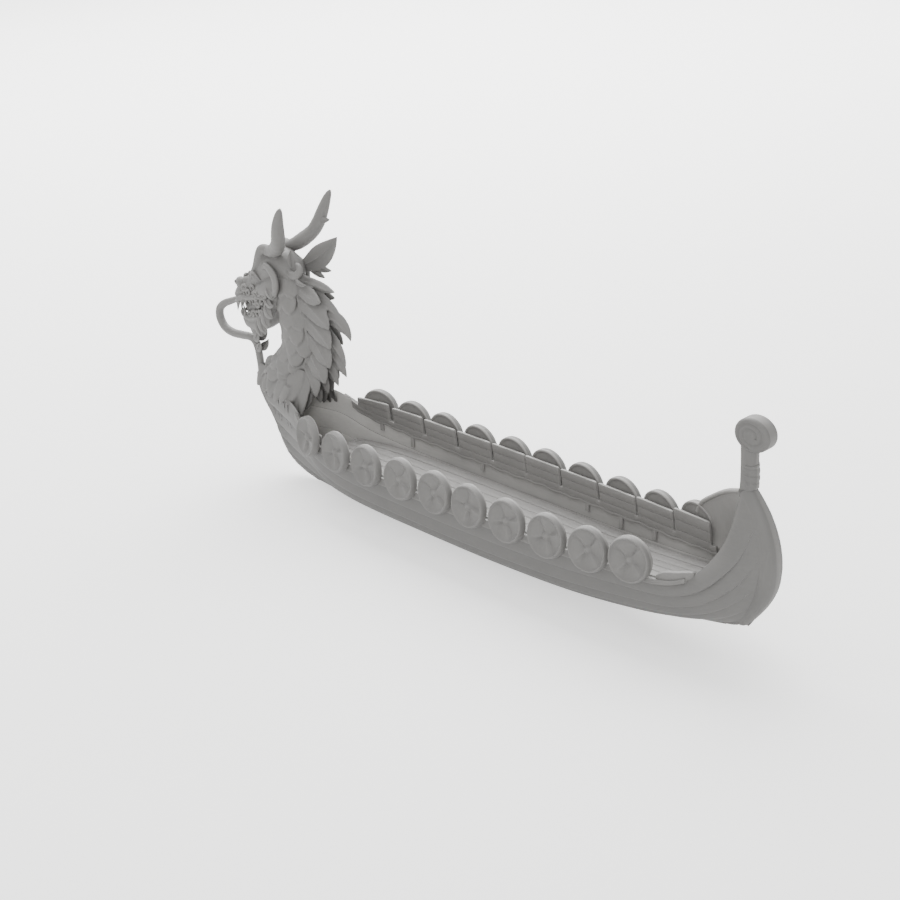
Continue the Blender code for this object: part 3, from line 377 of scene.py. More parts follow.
def frames_along(points, cross=Vector((0, 1, 0))):
    # a direction and two cross directions at every point of a curve, with little twist
    out = []
    for i, p in enumerate(points):
        a = points[max(i - 1, 0)]
        b = points[min(i + 1, len(points) - 1)]
        t = (b - a).normalized()
        cross = (cross - t * cross.dot(t)).normalized()
        out.append((t, cross, t.cross(cross)))
    return out


def tube_rings(rows, sides, level=False, bump=None):
    # rows are x, y, z, half width across, half height; ellipses along a curve
    points = [Vector(r[0:3]) for r in rows]
    rings = []
    for i, (row, p, (t, u, v)) in enumerate(zip(rows, points, frames_along(points))):
        if level:
            u = Vector((0, 1, 0))
            v = Vector((-1, 0, 0))
        ring = []
        for k in range(sides):
            a = 2 * math.pi * (k + 0.5) / sides
            grow = bump(i / (len(rows) - 1), a) if bump else 1.0
            ring.append(p + u * (math.cos(a) * row[3] * grow) + v * (math.sin(a) * row[4] * grow))
        rings.append(ring)
    return rings


# Hull planks


STEP = PLANK_T + PLANK_GAP
PITCH = 1.0 / STRAKES
WIDE = PITCH + LAP
AMP = STEP * WIDE / PITCH
PLANK_STATIONS = 112


def plank_off(i, f):
    # how far the inside of plank i stands off the hull form at f
    low = i * PITCH - (LAP if i > 0 else 0.0)
    if i == 0:
        join = PITCH - LAP
        if f <= join:
            return AMP * (LAP / WIDE) * (f / join)
        return AMP * (PITCH - f) / WIDE
    return AMP * (1.0 - (f - low) / WIDE)


# Across a plank: place from its lower to its upper edge, and share of its thickness
PLANK_SECTION = [
    (0.000, 0.10), (0.010, 0.62), (0.040, 1.08), (0.100, 1.42), (0.200, 1.62), (0.350, 1.66), (0.500, 1.50),
    (0.650, 1.24), (0.780, 0.94), (0.880, 0.70), (1.000, 0.55),
]
TAIL_REACH = 0.17           # how far the planks' ends run out over the stern post
TAIL_STEPS = 8
NOSE_POWER = 2.3
POST_NOSE = [0.135, 0.185, 0.24, 0.28, 0.28, 0.27, 0.26, 0.25, 0.23, 0.22]
POST_F = [0.00, 0.10, 0.22, 0.34, 0.46, 0.58, 0.70, 0.82, 0.92, 1.00]


def post_frame(f):
    # at the planks' ends: the middle of the post, its outward direction, half breadth and nose
    p = hull_point(S_END, f)
    a = hull_point(S_END, max(f - 0.02, 0.0))
    b = hull_point(S_END, min(f + 0.02, 1.0))
    out = Vector((b.z - a.z, 0, a.x - b.x)).normalized()
    i = 0
    while i < len(POST_F) - 2 and f > POST_F[i + 1]:
        i += 1
    t = (f - POST_F[i]) / (POST_F[i + 1] - POST_F[i])
    nose = POST_NOSE[i] * (1 - t) + POST_NOSE[i + 1] * t
    breadth = p.y - 0.006 + (PLANK_T + 0.006) * min(1.0, f / 0.1) + 0.014 * max(0.0, f - 0.8) / 0.2
    return Vector((p.x, 0, p.z)), out, breadth, nose


def nose_breadth(breadth, nose, d):
    # half breadth of the post d behind the planks' ends, round towards its outer edge
    u = min(max(d / nose, 0.0), 1.0)
    return breadth * (1.0 - u ** NOSE_POWER) ** (1.0 / NOSE_POWER)


def tail_point(f, off, step):
    # the planks' ends follow the side of the post and sink into it
    t = step / TAIL_STEPS
    p, out, breadth, nose = post_frame(min(max(f, 0.0), 1.0))
    start = hull_off(S_END, f, off)
    d = TAIL_REACH * t
    side = Vector((0, nose_breadth(breadth, nose, d), 0)) + p + out * d
    proud = (start.y - breadth) * (1.0 - t) ** 1.4 - 0.012 * t
    side.y += proud
    edge = start - p
    side += Vector((edge.x, 0, edge.z)) * (1.0 - t) - out * (out.dot(Vector((edge.x, 0, edge.z))) * (1.0 - t))
    return side


def lap_fade(s):
    # the laps die out towards the stern post
    t = min(max((s - 11.4) / 2.4, 0.0), 1.0)
    return t * t * (3 - 2 * t)


def build_planks():
    for i in range(STRAKES):
        low = i * PITCH - (LAP if i > 0 else 0.0)
        high = (i + 1) * PITCH
        outer = []
        inner = []
        for k in range(PLANK_STATIONS + TAIL_STEPS):
            s = min(S_END * k / (PLANK_STATIONS - 1), S_END)
            fade = lap_fade(s)
            row_out = []
            row_in = []
            for u, share in PLANK_SECTION:
                f = low + (high - low) * u
                off = plank_off(i, f)
                foot = min(1.0, 0.15 + f / 0.10)
                front = (off + PLANK_T * share) * (1 - fade) + (PLANK_T + 0.011 - 0.005 * u) * fade * foot
                rear = (off + PLANK_GAP) * (1 - fade) + (0.006 - 0.003 * u) * fade * foot * 0.6
                if k < PLANK_STATIONS:
                    row_out.append(hull_off(s, f, front))
                    row_in.append(hull_off(s, f, rear))
                else:
                    row_out.append(tail_point(f, front, k - PLANK_STATIONS + 1))
                    row_in.append(tail_point(f, rear, k - PLANK_STATIONS + 1))
            outer.append(row_out)
            inner.append(row_in)
        for side, sign in SIDES:
            bm = bmesh.new()
            add_plate(bm, outer, inner, sign)
            name = "plank_" + str(i + 1) + "_" + side
            place_bm("strake_" + str(i + 1) + "_" + side, bm, HULL_WOOD, (name,), 50.0)


build_planks()


def build_apron():
    # the inner post at the bow, which fills the breadth between the planks' fore ends
    rings = []
    for k in range(33):
        f = k / 32
        off = plank_off(min(int(f / PITCH), STRAKES - 1), f) + 0.6 * PLANK_T
        a = hull_off(0.0, f, off)
        b = hull_off(0.35, f, off)
        rings.append([Vector((a.x + 0.004, a.y, a.z)), Vector((b.x, b.y, b.z)), Vector((b.x, -b.y, b.z)),
                      Vector((a.x + 0.004, -a.y, a.z))])
    bm = bmesh.new()
    add_rings(bm, rings)
    place_bm("apron", bm, LIT_INNER_WOOD, (), 30.0)


build_apron()

# Outer rail that the shields hang on, with rounded edges and a bead
GRID_S = S_END / 22


def build_rails():
    rings = []
    for k in range(85):
        s = GRID_S * (5 + 12 * k / 84)
        n = level_normal(s)
        top = hull_off(s, 1.0, plank_off(STRAKES - 1, 1.0) + PLANK_T)
        low = hull_off(s, RAIL_F, plank_off(STRAKES - 1, RAIL_F) + PLANK_T)
        drop = top.z - low.z
        lean = n * (math.tan(math.radians(6.7)) * drop)
        ring = []
        # out from the plank, down from the top edge
        for out, down in ((0.0, 0.0), (0.85, 0.0), (1.0, 0.10), (0.90, 0.45), (0.90, 0.55), (1.0, 0.90), (0.85, 1.0)):
            p = top + n * (RAIL_T * out) + lean * down
            p.z = top.z - drop * down
            ring.append(p)
        ring.append(low.copy())
        rings.append(ring)
    for side, sign in SIDES:
        bm = bmesh.new()
        add_rings(bm, rings, flip=sign)
        place_bm("rail_" + side, bm, RAIL_WOOD, ("outer_rail_" + side,), 30.0)


build_rails()

# Shields: thick rim, shallow bowl with carved creases and a raised boss


def shield_frame(node):
    # centre and directions of a shield, measured on its plain solid
    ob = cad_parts[node]
    pts = np.array([list(ob.matrix_world @ v.co) for v in ob.data.vertices])
    rough = pts.mean(axis=0)
    cov = np.cov((pts - rough).T)
    values, vectors = np.linalg.eigh(cov)
    face = Vector(vectors[:, 0])
    out = -1.0 if rough[1] < 0 else 1.0
    if face.y * out < 0:
        face = -face
    across = Vector((face.y, -face.x, 0)).normalized()
    upward = across.cross(face)
    if upward.z < 0:
        upward = -upward
    axes = np.array([list(across), list(upward), list(face)])
    local = pts @ axes.T
    mid = (local.min(axis=0) + local.max(axis=0)) / 2
    centre = Vector(tuple(mid @ axes))
    return centre, across, upward, face


# Front of a shield from rim to boss: radius, height above its middle plane, share of the creases there
SHIELD_FRONT = [
    (0.4500, -0.050, 0.0), (0.4480, -0.020, 0.0), (0.4440, 0.005, 0.0), (0.4390, 0.028, 0.0), (0.4330, 0.048, 0.0),
    (0.4260, 0.063, 0.0), (0.4180, 0.0740, 0.0), (0.4100, 0.0795, 0.0), (0.4030, 0.0800, 0.0), (0.3970, 0.0765, 0.0),
    (0.3900, 0.0690, 0.05), (0.3800, 0.0580, 0.15), (0.3650, 0.0450, 0.30), (0.3450, 0.0330, 0.50), (0.3150, 0.0200, 0.75),
    (0.2750, 0.0090, 0.95), (0.2300, 0.0, 1.00), (0.1800, -0.0060, 1.00), (0.1350, -0.0070, 0.80), (0.1050, -0.0020, 0.45),
    (0.0850, 0.0080, 0.15), (0.0720, 0.0210, 0.0), (0.0600, 0.0340, 0.0), (0.0420, 0.0450, 0.0), (0.0180, 0.0520, 0.0),
]
SHIELD_REAR = [
    (0.4500, -0.058), (0.4470, -0.071), (0.4400, -0.079), (0.4300, -0.082), (0.4050, -0.080), (0.3960, -0.075),
    (0.3880, -0.068), (0.3780, -0.063), (0.3600, -0.061), (0.2500, -0.060), (0.1200, -0.060), (0.0300, -0.060),
]
CREASES = 4
CREASE_DEEP = 0.054
SHIELD_SEG = 100


def crease_depth(angle, turn):
    # sharp folds that run out from the boss, one side steep and the other gentle
    u = ((angle - turn) / (2 * math.pi) * CREASES) % 1.0
    wave = u / 0.20 if u < 0.20 else (1.0 - u) / 0.80
    return wave * CREASE_DEEP - 0.022


def build_shields():
    for number in range(1, 11):
        centre, across, upward, face = shield_frame("shield_" + str(number) + "_port")
        turn = math.radians(24.0 + 31.0 * ((number * 7) % 5))
        rings = [(r, d, 0.0) for r, d in reversed(SHIELD_REAR)] + SHIELD_FRONT
        for side, sign in SIDES:
            loops = []
            for r, d, share in rings:
                loop = []
                for k in range(SHIELD_SEG):
                    a = 2 * math.pi * k / SHIELD_SEG
                    rise = d + share * crease_depth(a, turn)
                    loop.append(centre + across * (math.cos(a) * r) + upward * (math.sin(a) * r) + face * rise)
                loops.append(loop)
            bm = bmesh.new()
            add_rings(bm, loops, flip=-sign)
            node = "shield_" + str(number) + "_" + side
            place_bm("round_" + node, bm, SHIELD_WOOD, (node,), 32.0)


build_shields()

# Floor boards


def deck_level(x):
    t = (x + 4.65) / 10.25
    return DECK_Z + 0.16 * max(0.0, (t - 0.75) / 0.25) ** 1.5


DECK_BOARDS = 8
DECK_ROWS = 64


def deck_edges():
    rows = []
    s0 = s_at_x(-4.65)
    s1 = s_at_x(5.60)
    for k in range(DECK_ROWS + 1):
        s = s0 + (s1 - s0) * k / DECK_ROWS
        p = hull_point(s, 1.0)
        for _ in range(4):
            z = deck_level(p.x)
            f = f_at_height(s, z - DECK_T)
            p = hull_point(s, f) - hull_normal(s, f) * DECK_CLEAR
        rows.append((p.x, p.y, z))
    return rows


def dish(u):
    # depth of the floor's dish across the boat, from -1 to 1
    a = min(1.0, 2.0 * (1.0 - abs(u)))
    return -DECK_DISH * (a * a * (3 - 2 * a))


def build_deck():
    rows = deck_edges()
    bm = bmesh.new()
    groove = 0.012
    for b in range(DECK_BOARDS):
        u0 = -1.0 + 2.0 * b / DECK_BOARDS
        u1 = -1.0 + 2.0 * (b + 1) / DECK_BOARDS
        rings = []
        for x, half, z in rows:
            y0 = half * u0 + groove / 2
            y1 = half * u1 - groove / 2
            ring = []
            for y, drop in ((y0, 0.012), (y0 + 0.014, 0.0), ((y0 + y1) / 2, -0.004), (y1 - 0.014, 0.0), (y1, 0.012)):
                ring.append(Vector((x, y, z + dish(y / half) - drop)))
            ring.append(Vector((x, y1, z + dish(y1 / half) - DECK_T)))
            ring.append(Vector((x, y0, z + dish(y0 / half) - DECK_T)))
            rings.append(ring)
        add_rings(bm, rings)
    place_bm("floor_boards", bm, LIT_INNER_WOOD, ("deck",), 35.0)


build_deck()

# Boards behind the shields: a low rail along the sheer, and over it one board of three strips behind
# every shield. Each row: middle along the boat, height of the shield's middle, half length of the board
BOARD_ROWS = [
    (-4.121, 1.067, 0.440), (-3.103, 1.010, 0.465), (-2.088, 0.991, 0.480), (-1.036, 0.995, 0.495),
    (0.000, 1.000, 0.475), (0.965, 0.997, 0.475), (1.987, 0.990, 0.490), (3.016, 0.991, 0.485),
    (4.022, 1.022, 0.470), (4.980, 1.114, 0.450),
]
POST_BOARDS = (0, 1, 3, 6, 7, 8)   # boards with a short post under them
BOARD_LEAN = 0.10
NEAR_REACH = 0.55           # the port boards are shorter and lower, hidden behind their shields
NEAR_DROP = 0.22
STRIP = 0.165               # height of one strip of a board
RACK_X0 = -4.72
RACK_X1 = 5.56


def rack_point(s, high, deep):
    # a point inside the top plank: high above the sheer, deep inward from the plank's inner face
    top = STRAKES - 1
    n = level_normal(s)
    sheer = hull_off(s, 1.0, plank_off(top, 1.0))
    if high >= 0:
        return sheer - n * (high * BOARD_LEAN + deep) + Vector((0, 0, high))
    f = f_at_height(s, hull_point(s, 1.0).z + high)
    return hull_off(s, f, plank_off(top, f)) - n * deep


def rack_ring(s, high, low, deep, strips):
    # outside up, over the rounded top, and down the inside with a step at every strip
    points = [(low, 0.0), (0.0, 0.0), (high - 0.014, 0.0), (high - 0.004, 0.005), (high, 0.016)]
    points += [(high, deep - 0.018), (high - 0.005, deep - 0.005), (high - 0.018, deep)]
    for k in range(1, strips + 1):
        h = high - STRIP * k * (high - low) / (STRIP * (strips + 0.6))
        points += [(h + 0.016, deep), (h + 0.004, deep - 0.004), (h, deep - 0.016)]
        points += [(h - 0.006, deep - 0.016), (h - 0.012, deep - 0.006)]
    points += [(low + 0.018, deep), (low + 0.004, deep - 0.006), (low, deep - 0.020)]
    return [rack_point(s, h, d) for h, d in points]


def build_boards():
    for side, sign in SIDES:
        bm = bmesh.new()
        rings = []
        for k in range(73):
            s = s_at_x(RACK_X0 + (RACK_X1 - RACK_X0) * k / 72)
            low = -0.155 - 0.018 * math.sin(k * 1.7) - 0.010 * math.sin(k * 0.61)
            rings.append(rack_ring(s, 0.020, low, BOARD_T, 1))
        add_rings(bm, rings, flip=sign)
        for number, (x, middle, reach) in enumerate(BOARD_ROWS):
            if side == "port":
                reach = reach * NEAR_REACH
                middle = middle - NEAR_DROP
            rings = []
            for k in range(33):
                along = math.sin(math.pi / 2 * (-1.0 + 2.0 * k / 32))
                inset = reach * (1.0 - abs(along))
                soft = math.sqrt(max(0.0, 1.0 - max(0.0, 1.0 - inset / 0.07) ** 2))
                s = s_at_x(x + reach * along)
                high = middle + BOARD_RISE - hull_point(s, 1.0).z
                rings.append(rack_ring(s, high - 0.030 * (1 - soft), -0.05, BOARD_T * (0.62 + 0.48 * soft), 2))
            add_rings(bm, rings, flip=sign)
            # short posts under the board
            for share, wide in ((0.38 - 0.22 * (number % 3), 0.05),) if number in POST_BOARDS else ():
                rings = []
                for way in (-1.0, -0.7, 0.7, 1.0):
                    s = s_at_x(x + reach * share + wide * way)
                    deep = BOARD_T * (0.9 if abs(way) < 0.9 else 0.6)
                    foot = -0.30 - 0.04 * ((number * 5) % 3)
                    rings.append([rack_point(s, h, d) for h, d in ((foot, 0.0), (-0.10, 0.0), (-0.10, deep), (foot, deep))])
                add_rings(bm, rings, flip=sign)
        place_bm("seat_boards_" + side, bm, LIT_BOARD_WOOD, ("shield_boards_" + side,), 35.0)


build_boards()

# Rail end aft of the last port shield
RAIL_END = [
    (5.46, 0.060, 0.02), (5.56, 0.125, 0.03), (5.70, 0.155, 0.034), (5.90, 0.140, 0.034), (6.06, 0.110, 0.03),
    (6.16, 0.060, 0.022), (6.20, 0.010, 0.010),
]


def build_rail_end():
    bm = bmesh.new()
    rings = []
    for x, high, proud in denser(RAIL_END, 24):
        s = s_at_x(x)
        n = level_normal(s)
        face = hull_off(s, 1.0, plank_off(STRAKES - 1, 1.0) + PLANK_T)
        ring = []
        for out, up in ((-0.07, -0.09), (-0.07, high - 0.012), (-0.058, high), (proud - 0.012, high),
                        (proud, high - 0.012), (proud, -0.055), (proud - 0.012, -0.07), (-0.02, -0.09)):
            ring.append(face + n * out + Vector((0, 0, up)))
        rings.append(ring)
    add_rings(bm, rings, flip=-1.0)
    place_bm("rail_end", bm, RAIL_WOOD, (), 40.0)


build_rail_end()

# Stern: a fair post, soft wraps round its neck, a thick scroll and the raised quarter board
NECK_X = 6.870
NECK_BREADTH = 0.100
SCROLL_X = 6.970
SCROLL_Z = 3.785
SCROLL_WIDE = 0.368
SCROLL_HIGH = 0.312
SCROLL_T = 0.320
SPIRAL_TURNS = 1.75
SPIRAL_START = -110.0


def smooth_rings(rings, n):
    # rings between the given rings, on smooth curves through their points
    count = len(rings[0])
    flat = [[c for p in ring for c in p] for ring in rings]
    out = []
    for row in denser(flat, n):
        out.append([Vector(row[3 * k:3 * k + 3]) for k in range(count)])
    return out


def post_ring(p, out, w_in, breadth, depth, nose):
    half = [(-depth, w_in), (-0.004, w_in), (0.004, breadth * 0.985)]
    for k in range(1, 12):
        d = nose * math.sin(math.pi / 2 * k / 11)
        half.append((d, max(nose_breadth(breadth, nose, d), 0.004)))
    ring = [p + out * d + Vector((0, y, 0)) for d, y in half]
    ring += [p + out * d + Vector((0, -y, 0)) for d, y in reversed(half)]
    return ring


def build_post():
    rings = []
    for s, nose in ((12.13, 0.085), (12.7, 0.095), (13.3, 0.098), (13.7, 0.098)):
        k = hull_point(s, 0.0)
        rings.append(post_ring(Vector((k.x, 0, k.z)), Vector((0, 0, -1)), k.y - 0.001, k.y - 0.001, 0.0, nose))
    for f in POST_F:
        p, out, breadth, nose = post_frame(f)
        rings.append(post_ring(p, out, hull_point(S_END, f).y - 0.008, breadth, 0.10, nose))
    for z, w in ((2.76, 0.140), (2.90, 0.126), (3.08, 0.120), (3.30, 0.118), (3.55, 0.124)):
        rings.append(post_ring(Vector((NECK_X, 0, z)), Vector((1, 0, 0)), w, w, 0.125, 0.150))
    bm = bmesh.new()
    add_rings(bm, smooth_rings(rings, 96))
    place_bm("fair_post", bm, POST_WOOD, ("stern_post",), 55.0)


def build_collar():
    # wraps that lie a little askew round the neck
    sides = 48
    rings = []
    for i in range(45):
        t = i / 44
        ring = []
        for k in range(sides):
            a = 2 * math.pi * k / sides
            z = 2.80 + 0.42 * t + 0.020 * math.sin(a)
            turn = (z * 7.6 + 0.10 * math.cos(a + 0.6)) % 1.0
            bead = math.sin(math.pi * turn) ** 0.6
            out = 0.002 + 0.020 * bead * math.sin(math.pi * min(max(t, 0.02), 0.98)) ** 0.35
            ring.append(Vector((NECK_X + 0.0125 + math.cos(a) * (0.142 + out), math.sin(a) * (0.120 + out), z)))
        rings.append(ring)
    bm = bmesh.new()
    add_rings(bm, rings)
    place_bm("wrapped_collar", bm, POST_WOOD, ("neck_collar",), 50.0)


def spiral_depth(r, a):
    # depth of the soft groove that winds inward on the scroll's faces, for a share of its radius
    best = 9.0
    for k in range(-3, 4):
        t = (SPIRAL_START - math.degrees(a) + 360.0 * k) / (360.0 * SPIRAL_TURNS)
        if -0.02 <= t <= 1.0:
            best = min(best, abs(r - (0.80 - 0.50 * t)))
    return 0.020 * math.exp(-(best / 0.085) ** 2)


def build_scroll():
    sides = 84
    shares = [0.03 + 0.97 * math.sin(math.pi / 2 * k / 30) for k in range(31)]
    half = []
    for share in shares:
        edge = max(0.0, (share - 0.84) / 0.16)
        dome = 0.022 * (1.0 - share * share)
        half.append((share, SCROLL_T / 2 - 0.060 * (1 - math.sqrt(max(0.0, 1 - edge * edge))) + dome - 0.012))
    rings = []
    for way, rows in ((-1.0, half), (1.0, list(reversed(half)))):
        for share, y in rows:
            ring = []
            for k in range(sides):
                a = 2 * math.pi * k / sides
                cut = spiral_depth(share, a) if share < 0.95 else 0.0
                ring.append(Vector((SCROLL_X + math.cos(a) * SCROLL_WIDE * share, way * (y - cut),
                                    SCROLL_Z + math.sin(a) * SCROLL_HIGH * share)))
            rings.append(ring)
    bm = bmesh.new()
    add_rings(bm, rings)
    place_bm("carved_scroll", bm, POST_WOOD, ("stern_scroll",), 60.0)


# Quarter board: place along the sheer, and its top edge as x, y, z
QUARTER_ROWS = [
    (9.40, 4.98, 0.930, 1.36), (9.545, 5.12, 0.885, 1.61), (10.18, 5.62, 0.700, 1.99), (10.82, 5.95, 0.520, 2.21),
    (11.45, 6.20, 0.360, 2.36), (12.09, 6.40, 0.235, 2.46), (12.73, 6.55, 0.150, 2.54),
]


def build_quarter_board():
    bm = bmesh.new()
    outer = []
    inner = []
    rim = []
    steps = 12
    for s, x, y, z in denser(QUARTER_ROWS, 44):
        n = level_normal(s)
        edge = Vector((x, y, z))
        sides = []
        for thick in (PLANK_T - QUARTER_T, PLANK_T):
            low = hull_off(s, 0.975, plank_off(STRAKES - 1, 0.975) + thick)
            high = edge + n * (thick - PLANK_T + QUARTER_T)
            row = []
            for k in range(steps + 1):
                u = k / steps
                row.append(low * (1 - u) + high * u + n * (0.13 * u * (1 - u) + 0.02 * math.sin(math.pi * u)))
            sides.append(row)
        inner.append(sides[0])
        outer.append(sides[1])
        middle = edge + n * (QUARTER_T / 2)
        rim.append((middle.x, middle.y, middle.z, 0.046, 0.046))
    add_plate(bm, outer, inner)
    add_rings(bm, tube_rings(rim, 14))
    place_bm("quarter_board", bm, POST_WOOD, ("quarter_board_starboard",), 50.0)


build_post()
build_collar()
build_scroll()
build_quarter_board()

# Figurehead: neck, scales, mane, horns and head

NECK_ROWS = [
    (-6.19, 0.0, 1.366, 0.215, 0.600), (-6.10, 0.0, 1.60, 0.265, 0.610), (-5.92, 0.0, 1.86, 0.320, 0.590),
    (-5.70, 0.0, 2.14, 0.325, 0.550), (-5.46, 0.0, 2.50, 0.315, 0.510), (-5.38, 0.0, 2.80, 0.305, 0.480),
    (-5.42, 0.0, 3.10, 0.300, 0.450), (-5.52, 0.0, 3.45, 0.290, 0.430), (-5.60, 0.0, 3.85, 0.275, 0.400),
    (-5.66, 0.0, 4.20, 0.240, 0.340),
]


def neck_point(v, a):
    # v runs from 0 at the foot to 1 at the top, a from 0 at the throat round to pi at the nape
    row = table_at(NECK_ROWS, v * (len(NECK_ROWS) - 1))
    return Vector((row[0] - math.cos(a) * row[4], math.sin(a) * row[3], row[2]))


def neck_frame(v, a):
    # a point on the neck with its outward, downward and sideways directions
    h = 0.01
    p = neck_point(v, a)
    down = (neck_point(max(v - h, 0), a) - neck_point(min(v + h, 1), a)).normalized()
    round_way = (neck_point(v, a + h) - neck_point(v, a - h)).normalized()
    out = down.cross(round_way)
    c = table_at(NECK_ROWS, v * (len(NECK_ROWS) - 1))
    if out.dot(p - Vector((c[0], 0, c[2]))) < 0:
        out = -out
    out.normalize()
    sideways = out.cross(down).normalized()
    return p, out, down, sideways


def add_scale(bm, p, out, down, sideways, wide, long, lift, pointed=0.0):
    # one overlapping scale: round or pointed tip, domed, with a thick rolled edge
    rows = 8
    cols = 9
    top = []
    low = []
    for i in range(rows):
        v = i / (rows - 1)
        blunt = math.sqrt(max(0.0, 1.0 - (max(0.0, v - 0.40) / 0.60) ** 2)) * (0.92 + 0.08 * min(1.0, v / 0.4))
        sharp = 1.0 - 0.25 * v if v < 0.35 else 0.9125 * max(0.0, 1.0 - (v - 0.35) / 0.65) ** 0.75
        share = max(blunt * (1 - pointed) + sharp * pointed, 0.05)
        row_top = []
        row_low = []
        for j in range(cols):
            u = -1.0 + 2.0 * j / (cols - 1)
            rim = max(abs(u), v)
            roll = 0.014 * max(0.0, (rim - 0.80) / 0.20) ** 2
            dome = lift * (0.10 + 0.90 * v) + 0.030 * (1.0 - u * u) * (0.4 + 0.6 * v) - roll
            base = p + down * (long * (v - 0.25)) + sideways * (u * wide / 2 * share)
            row_top.append(base + out * dome)
            row_low.append(base + out * (dome - 0.040 - 0.010 * (1.0 - u * u)))
        top.append(row_top)
        low.append(row_low)
    add_plate(bm, top, low)


def build_neck():
    bm = bmesh.new()
    rings = []
    sides = 44
    for i in range(61):
        v = i / 60
        rings.append([neck_point(v, 2 * math.pi * k / sides) for k in range(sides)])
    add_rings(bm, rings)
    count = 10
    for i in range(count):
        v = 0.97 - 0.90 * i / (count - 1)
        around = 8
        wide = 0.50 if v < 0.4 else 0.44
        for k in range(around):
            a = 2 * math.pi * (k + 0.5 * (i % 2)) / around
            if abs(a - math.pi) < 0.42:
                continue
            p, out, down, sideways = neck_frame(v, a)
            add_scale(bm, p, out, down, sideways, wide, 0.56, 0.070)
    place_mesh("scaled_neck", fused("neck_skin", bm, 0.020, 4), CARVED_WOOD, ("neck",), 60.0)


def add_leaf(bm, root, bend, tip, wide, thick, flat=Vector((0, 1, 0)), steps=14, root_share=0.55, flip=1.0, full=0.34):
    # a carved leaf: curved spine, widest a third of the way out, a sharp middle rib and a point.
    # flat is the direction that the leaf's face looks in
    root = Vector(root)
    bend = Vector(bend)
    tip = Vector(tip)
    rings = []
    for i in range(steps + 1):
        t = i / steps
        p = root * (1 - t) ** 2 + bend * 2 * t * (1 - t) + tip * t * t
        d = ((bend - root) * (1 - t) + (tip - bend) * t).normalized()
        face = (flat - d * flat.dot(d)).normalized()
        side = d.cross(face)
        if t < full:
            share = root_share + (1 - root_share) * math.sin(t / full * math.pi / 2)
        else:
            share = math.cos((t - full) / (1 - full) * math.pi / 2) ** 0.85
        w = wide / 2 * max(share, 0.02)
        h = thick / 2 * max(share ** 0.7, 0.06)
        ring = []
        for x, y in ((1.0, 0.0), (0.72, 0.38), (0.38, 0.50), (0.10, 0.62), (0.0, 1.0), (-0.10, 0.62), (-0.38, 0.50),
                     (-0.72, 0.38), (-1.0, 0.0), (-0.72, -0.38), (-0.38, -0.50), (-0.10, -0.62), (0.0, -1.0),
                     (0.10, -0.62), (0.38, -0.50), (0.72, -0.38)):
            ring.append(p + side * (w * x) + face * (h * y))
        rings.append(ring)
    add_rings(bm, rings, flip=flip)


# Mane leaves in the middle plane and beside it: root, bend and tip as x and z, width, and how far
# the root and the tip stand from the middle plane
MANE_LEAVES = [
    (-5.20, 4.16, -4.52, 4.10, -4.08, 4.05, 0.22, 0.00, 0.00),
    (-5.16, 3.92, -4.44, 3.80, -3.90, 3.46, 0.34, 0.00, 0.00),
    (-5.00, 3.45, -3.80, 3.60, -3.69, 3.02, 0.40, 0.00, 0.00),
    (-4.80, 3.25, -4.16, 2.92, -3.92, 2.41, 0.34, 0.00, 0.00),
    (-4.90, 2.95, -4.24, 2.66, -3.93, 2.14, 0.44, 0.00, 0.00),
    (-5.02, 2.60, -4.46, 2.34, -4.24, 1.86, 0.44, 0.00, 0.00),
    (-5.20, 2.25, -4.78, 1.98, -4.62, 1.58, 0.44, 0.00, 0.00),
    (-5.36, 1.95, -5.00, 1.68, -4.94, 1.28, 0.40, 0.00, 0.00),
    (-5.24, 4.00, -4.72, 3.84, -4.34, 3.82, 0.26, 0.09, 0.20),
    (-5.22, 3.70, -4.50, 3.62, -4.16, 3.22, 0.36, 0.09, 0.18),
    (-5.10, 3.34, -4.40, 3.20, -4.18, 2.76, 0.38, 0.10, 0.18),
    (-4.94, 2.94, -4.42, 2.72, -4.26, 2.30, 0.38, 0.11, 0.18),
    (-5.04, 2.56, -4.58, 2.30, -4.46, 1.90, 0.38, 0.12, 0.20),
    (-5.22, 2.20, -4.82, 1.96, -4.78, 1.52, 0.38, 0.13, 0.24),
    (-5.38, 1.92, -5.12, 1.60, -5.16, 1.14, 0.38, 0.14, 0.26),
]
SADDLE_ARC = 0.50           # half the angle of the nape that the mane's saddle covers
SADDLE_OUT = 0.10           # how far its ridge stands off the neck
WELT_ARC = 0.56             # where the welt between mane and scales runs


